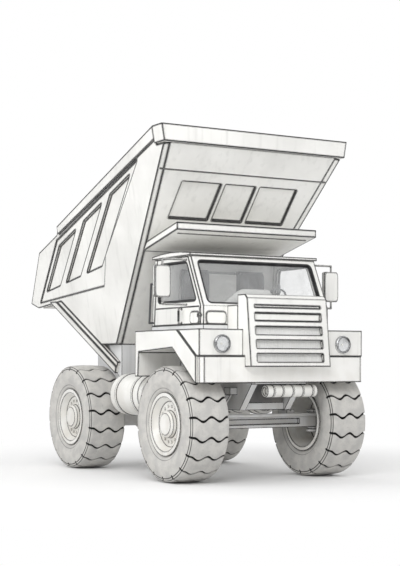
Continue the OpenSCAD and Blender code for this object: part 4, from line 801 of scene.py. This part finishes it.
# %% [markdown]
# The driver reads four dials set in the hump of the dashboard. Each is a bezel spun round and a pale face just
# inside it. The marks round the face are rows of the same grid: every eighth row is given the value 1 near
# the rim, and the finish turns black there, where a picture of a dial would need an image. A lever stands
# beside them, a stalk and a knob spun round an axis that leans back.

# %% Dials and lever
def dial_face():
    """Off-white, going black with the mark value of each point."""
    material, tree, shader = new_finish("dial_face")
    mark = add(tree, "ShaderNodeAttribute", attribute_name="mark").outputs["Fac"]
    stain = stretch(tree, spread(tree, 40.0), 0.4, 0.7)
    tone = blend(tree, stain, (0.78, 0.77, 0.72), (0.66, 0.65, 0.60))
    tree.links.new(blend(tree, mark, tone, NEAR_BLACK), shader.inputs["Base Color"])
    tree.links.new(stretch(tree, stain, 0, 1, 0.25, 0.4), shader.inputs["Roughness"])
    return material


DIAL_X, DIAL_Z, DIAL_STEPS, TICK_EVERY = axle_x + 0.123, 2.862, 96, 8
TICK_COLUMNS, HUB_COLUMN = (3, 4), 6
dials = np.array([(DIAL_X, y, DIAL_Z) for y in (-0.16, -0.01, 0.14, 0.29)])
bezel = [(0.046, -0.004), (0.058, -0.004), (0.058, 0.006), (0.054, 0.012), (0.048, 0.012), (0.046, 0.004)]
surface("dial_bezels", turned(bezel, dials, (-1, 0, 0), 40), "chassis", lamp_steel,
        wrap_rows=True, wrap_cols=True, closed=True)
face_r = np.array([0.0, 0.0465, 0.0465, 0.043, 0.034, 0.033, 0.006, 0.005, 0.0])
face_out = np.array([-0.003, -0.003, 0.003, 0.003, 0.003, 0.003, 0.003, 0.007, 0.007])
faces = turned(np.stack([face_r, face_out], -1), dials, (-1, 0, 0), DIAL_STEPS)
dial_plates = surface("dial_plates", faces, "chassis", dial_face(), wrap_rows=True)
column = np.arange(len(face_r))[None]
ticks = (np.arange(DIAL_STEPS) % TICK_EVERY == 0)[:, None] & np.isin(column, TICK_COLUMNS)
ticks = ticks | (column > HUB_COLUMN)
mark = dial_plates.data.attributes.new("mark", "FLOAT", "POINT")
mark.data.foreach_set("value", np.tile(ticks, (len(dials), 1, 1)).reshape(-1).astype(np.float32))

LEVER_FOOT, LEVER_LEAN = (axle_x + 0.20, 0.43, 2.858), (-0.12, 0, 1)
KNOB_R, KNOB_AT = 0.029, 0.350
STALK = [(0.0, -0.004), (0.040, -0.004), (0.038, 0.014), (0.018, 0.045), (0.013, 0.10), (0.013, 0.220),
         (0.024, 0.226), (0.028, 0.24)]
t = np.linspace(0, math.pi / 2, 7)
knob = np.stack([KNOB_R * np.cos(t), KNOB_AT + KNOB_R * np.sin(t)], -1)
lever = turned(np.concatenate([STALK, knob]), LEVER_FOOT, LEVER_LEAN, 24)
surface("dash_lever", lever, "chassis", cab_plastic, wrap_rows=True, closed=True)

# %% [markdown]
# A moulded hood stands on the hump and keeps the sun off the dials. Seen from the front it is a low roof, steep
# on the driver's side and long on the other. Its height is a smooth step up and a smooth step down across the
# truck, and it is rounded over from front to back by a squared sine.

# %% Dial hood
def dial_hood(y0, y1, y2, y3, x_front, x_back, low, high):
    """Height = low + (high - low) * step up from y0 to y1 * step down from y2 to y3 * round over along x."""
    y = np.linspace(y0, y3, 61)[:, None]
    turn = np.linspace(0, math.pi, 25)[None]
    along = x_front + (x_back - x_front) * (1 - np.cos(turn)) / 2
    rise = np.clip((y - y0) / (y1 - y0), 0, 1) * np.clip((y3 - y) / (y3 - y2), 0, 1)
    z = low + (high - low) * smooth(rise) ** 0.8 * np.sin(turn) ** 0.35
    top = np.stack([np.broadcast_to(along, z.shape), np.broadcast_to(y, z.shape), z], -1)
    under = top * (1, 1, 0) + np.array([0, 0, low - 0.006])
    return np.concatenate([top, under[:, ::-1]], 1)


HOOD_ACROSS = (-0.66, -0.20, 0.26, 0.36)
HOOD_FRONT, HOOD_LOW, HOOD_HIGH = axle_x + 0.165, 2.860, 3.135
hood = dial_hood(*HOOD_ACROSS, HOOD_FRONT, axle_x, HOOD_LOW, HOOD_HIGH)
surface("dial_hood", hood, "chassis", pale_plastic, wrap_cols=True, closed=True)

# %% [markdown]
# A rib is welded across the bed's front wall, above its three panels. The wall leans forward and widens as it
# rises, so the rib's face, its ends and its height all come from the wall's lean and the sides' flare. A small
# section is carried straight across the truck and drawn to a point at each end, which closes it.

# %% Front wall rib
BED_FRONT_X, BED_Z, BED_HALF = axle_x - 2.590, 2.2495, 1.200
LEAN, FLARE = math.radians(40.5), math.radians(9.6)
OPEN_ENDS = np.array([0.0, 1.0, 1.0, 0.0])[:, None, None]
RIB_Z, RIB_INSET = 5.05, 0.03
RIB = np.array([(-0.0170, -0.002), (-0.0068, 0.012), (0.0068, 0.012), (0.0170, -0.002)])


def cross_bar(start, half, section, along, out):
    """Section carried across the truck: point = start + u * along + v * out, at y from -half to half."""
    u, v = np.moveaxis(section * OPEN_ENDS, -1, 0)
    y = np.broadcast_to(np.array([-half, -half, half, half])[:, None], u.shape)
    return start + u[..., None] * along + v[..., None] * out + y[..., None] * np.array([0, 1, 0])


up_wall = np.array([math.sin(LEAN), 0, math.cos(LEAN)])
off_wall = np.array([math.cos(LEAN), 0, -math.sin(LEAN)])
rib_start = np.array([BED_FRONT_X + (RIB_Z - BED_Z) * math.tan(LEAN), 0, RIB_Z])
rib_half = BED_HALF + (RIB_Z - BED_Z) * math.tan(FLARE) - RIB_INSET
rib = cross_bar(rib_start, rib_half, RIB, up_wall, off_wall)
surface("wall_rib", rib, "bed", bed_paint, wrap_cols=True, closed=True)

# %% [markdown]
# A stepped bar runs down the slope under each side of the bed, from the tail to the floor beam, and stiffens
# the edge where the load slides out. A box with two cuts would do, but the side leans, so the bar would leave
# it. Here one section is carried down the slope, and each point takes its place across the truck from the
# leaning plane of the side at its own height. The upper end is mitred to meet the level underside of the tail.

# %% Slope bars
FOOT_X, KNEE_X, KNEE_RISE = axle_x - 3.170, axle_x - 4.610, 0.845
SLOPE_BAR = np.array([(0.0, -0.070), (0.0, 0.006), (0.096, 0.006), (0.104, 0.030), (0.235, 0.030),
                      (0.235, -0.070)])
PAST_FOOT, MITRE_BITE = 0.62, 0.010


def slope_bar(outward):
    """Stepped section carried down: point = knee + travel * slope + depth * under, with y on the leaning plane.

    The travel starts where the mitre cuts, -depth / tan(angle of the slope) - bite, and ends past the foot."""
    slope = np.array([FOOT_X - KNEE_X, -KNEE_RISE])
    length = np.linalg.norm(slope)
    slope = slope / length
    under = np.array([slope[1], -slope[0]])
    middle = SLOPE_BAR.mean(axis=0)
    depth, stand = np.moveaxis(middle + (SLOPE_BAR - middle) * OPEN_ENDS, -1, 0)
    upper = depth * slope[0] / slope[1] - MITRE_BITE
    travel = np.where(np.arange(4)[:, None] < 2, upper, length + PAST_FOOT)
    x = KNEE_X + travel * slope[0] + depth * under[0]
    z = BED_Z + KNEE_RISE + travel * slope[1] + depth * under[1]
    y = outward * (BED_HALF + (z - BED_Z) * math.tan(FLARE) + stand)
    return np.stack([x, y, z], axis=-1)


for side, outward in HANDS:
    bar = slope_bar(outward)
    surface("slope_bar_" + side, bar, "bed", bed_paint, wrap_cols=True, closed=True)
print("slope bars from", bar.min(axis=(0, 1)), "to", bar.max(axis=(0, 1)))

# %% [markdown]
# A flat bar is welded across the underside of the canopy, a little behind its front edge. It is a rectangle
# carried across the truck as the rib was, and it leans with the canopy: the lowest points of the solid's
# front face and of its back give the line that it follows.

# %% Canopy bar
NOSE_REACH, HEEL_REACH = 0.06, 0.3
BAR_BACK, BAR_HALF = 0.17, 1.27
BAR = np.array([(-0.014, -0.004), (0.014, -0.004), (0.014, 0.014), (-0.014, 0.014)])
canopy = np.unique(node_points("bed_canopy").round(4), axis=0)
nose = canopy[canopy[:, 0] > canopy[:, 0].max() - NOSE_REACH]
nose_low = nose[np.argmin(nose[:, 2])]
heel = canopy[canopy[:, 0] < canopy[:, 0].min() + HEEL_REACH]
heel_low = heel[np.argmin(heel[:, 2])]
back_line = (heel_low - nose_low) * (1, 0, 1)
back_line = back_line / np.linalg.norm(back_line)
down = np.cross(back_line, (0, 1, 0))
down = -down * np.sign(down[2])
bar_start = nose_low * (1, 0, 1) + BAR_BACK * back_line
bar = cross_bar(bar_start, BAR_HALF, BAR, back_line, down)
surface("canopy_bar", bar, "bed", bed_paint, wrap_cols=True, closed=True)
print("canopy nose", nose_low, "heel", heel_low)

# %% [markdown]
# Filler caps stand on the tanks. A cap is a spun profile whose rim is notched for the hand: the radius is a
# little smaller on every second pair of steps. Notches cut from a plain cap would leave thin faces.

# %% Filler caps
CAP = [(0.0, -0.012), (0.080, -0.012), (0.080, 0.020), (0.092, 0.022), (0.094, 0.030), (0.094, 0.062),
       (0.086, 0.072), (0.030, 0.076), (0.028, 0.090), (0.020, 0.095), (0.0, 0.096)]
CAP_STEPS, NOTCH_STEPS, NOTCH_COLUMNS, NOTCH_SHARE = 48, 4, (4, 5), 0.965
CAP_FORWARD, CAP_OUT, TANK_Z, TANK_R = 0.06, 1.10, 1.3675, 0.36
tank_low, tank_high = box_of("tanks")
cap_x = (tank_low[0] + tank_high[0]) / 2 + CAP_FORWARD
caps = [(cap_x, outward * CAP_OUT, TANK_Z + TANK_R) for _, outward in HANDS]
notched = (np.arange(CAP_STEPS) % NOTCH_STEPS < NOTCH_STEPS // 2)[:, None]
notched = notched & np.isin(np.arange(len(CAP)), NOTCH_COLUMNS)[None]
cap_points = turned(CAP, caps, (0, 0, 1), CAP_STEPS, np.where(notched, NOTCH_SHARE, 1.0))
surface("tank_caps", cap_points, "chassis", rim_paint, wrap_rows=True, closed=True)

# %% [markdown]
# The stage is a pale floor that turns to plain white away from the truck, under a white sky. A wide lamp stands
# off each side of the truck, the strongest ahead of it on the side that the picture shows. The white comes from
# the kind of ray that looks, so the truck itself is lit at a plain level and keeps its shadow.

# %% Stage and light
PALE = (0.88, 0.88, 0.88, 1)
WHITE = (1, 1, 1, 1)
UNDER = 0.001
WHITE_FROM, WHITE_BY = 4.0, 9.0
SKY_LEVEL = 0.64


def looking(tree, *kinds):
    """1 for rays of the given kinds, 0 for the rest."""
    rays = add(tree, "ShaderNodeLightPath").outputs
    seen = rays[kinds[0]]
    for kind in kinds[1:]:
        seen = add(tree, "ShaderNodeMath", {0: seen, 1: rays[kind]}, operation="MAXIMUM").outputs[0]
    return seen


def stage_floor(reach=60.0, steps=25):
    """A flat square grid on the ground, white from WHITE_BY metres away."""
    x, y = np.meshgrid(np.linspace(-reach, reach, steps), np.linspace(-reach, reach, steps), indexing="ij")
    points = np.stack([x, y, np.full_like(x, cad_low[2] - UNDER)], -1)
    material, tree, shader = new_finish("pale_floor")
    place = add(tree, "ShaderNodeTexCoord").outputs["Object"]
    away = add(tree, "ShaderNodeVectorMath", {0: place}, operation="LENGTH").outputs["Value"]
    seen = looking(tree, "Is Camera Ray", "Is Glossy Ray")
    white = add(tree, "ShaderNodeEmission", {"Color": WHITE, "Strength": 1.0}).outputs[0]
    shader.inputs["Base Color"].default_value = PALE
    shader.inputs["Roughness"].default_value = 0.9
    share = times(tree, seen, stretch(tree, away, WHITE_FROM, WHITE_BY))
    mixed = add(tree, "ShaderNodeMixShader", {0: share, 1: shader.outputs[0], 2: white})
    tree.links.new(mixed.outputs[0], tree.nodes["Material Output"].inputs[0])
    mesh = bpy.data.meshes.new("floor")
    mesh.from_pydata(points.reshape(-1, 3).tolist(), [], grid_quads(steps, steps).tolist())
    mesh.materials.append(material)
    floor = bpy.data.objects.new("floor", mesh)
    scene.collection.objects.link(floor)


def area_lamp(name, place, power, aim=(0, 0, 2.5), size=9):
    """A square lamp turned to face its aim: tilt from straight down, then turn about the upright."""
    data = bpy.data.lights.new(name, "AREA")
    data.size, data.energy = size, power
    lamp = bpy.data.objects.new(name, data)
    lamp.location = place
    towards = np.array(aim) - np.array(place)
    lamp.rotation_euler = (
        math.acos(-towards[2] / np.linalg.norm(towards)), 0, math.atan2(-towards[0], towards[1]))
    scene.collection.objects.link(lamp)


def studio_sky(level):
    """White where it is seen, and of the given level where it lights the truck."""
    world = bpy.data.worlds.new("sky")
    scene.world = world
    world.use_nodes = True
    tree = world.node_tree
    seen = looking(tree, "Is Camera Ray", "Is Glossy Ray", "Is Transmission Ray")
    back = tree.nodes["Background"]
    back.inputs["Color"].default_value = WHITE
    tree.links.new(stretch(tree, seen, 0, 1, level, 1.0), back.inputs["Strength"])


stage_floor()
studio_sky(SKY_LEVEL)
area_lamp("front_lamp", (13, -9, 11), 1400)
area_lamp("side_lamp", (-4, -16, 9), 680)
area_lamp("far_lamp", (4, 16, 9), 560)
area_lamp("rear_lamp", (-16, 2, 9), 560)
scene.view_settings.view_transform = "Standard"
print("stage lit")
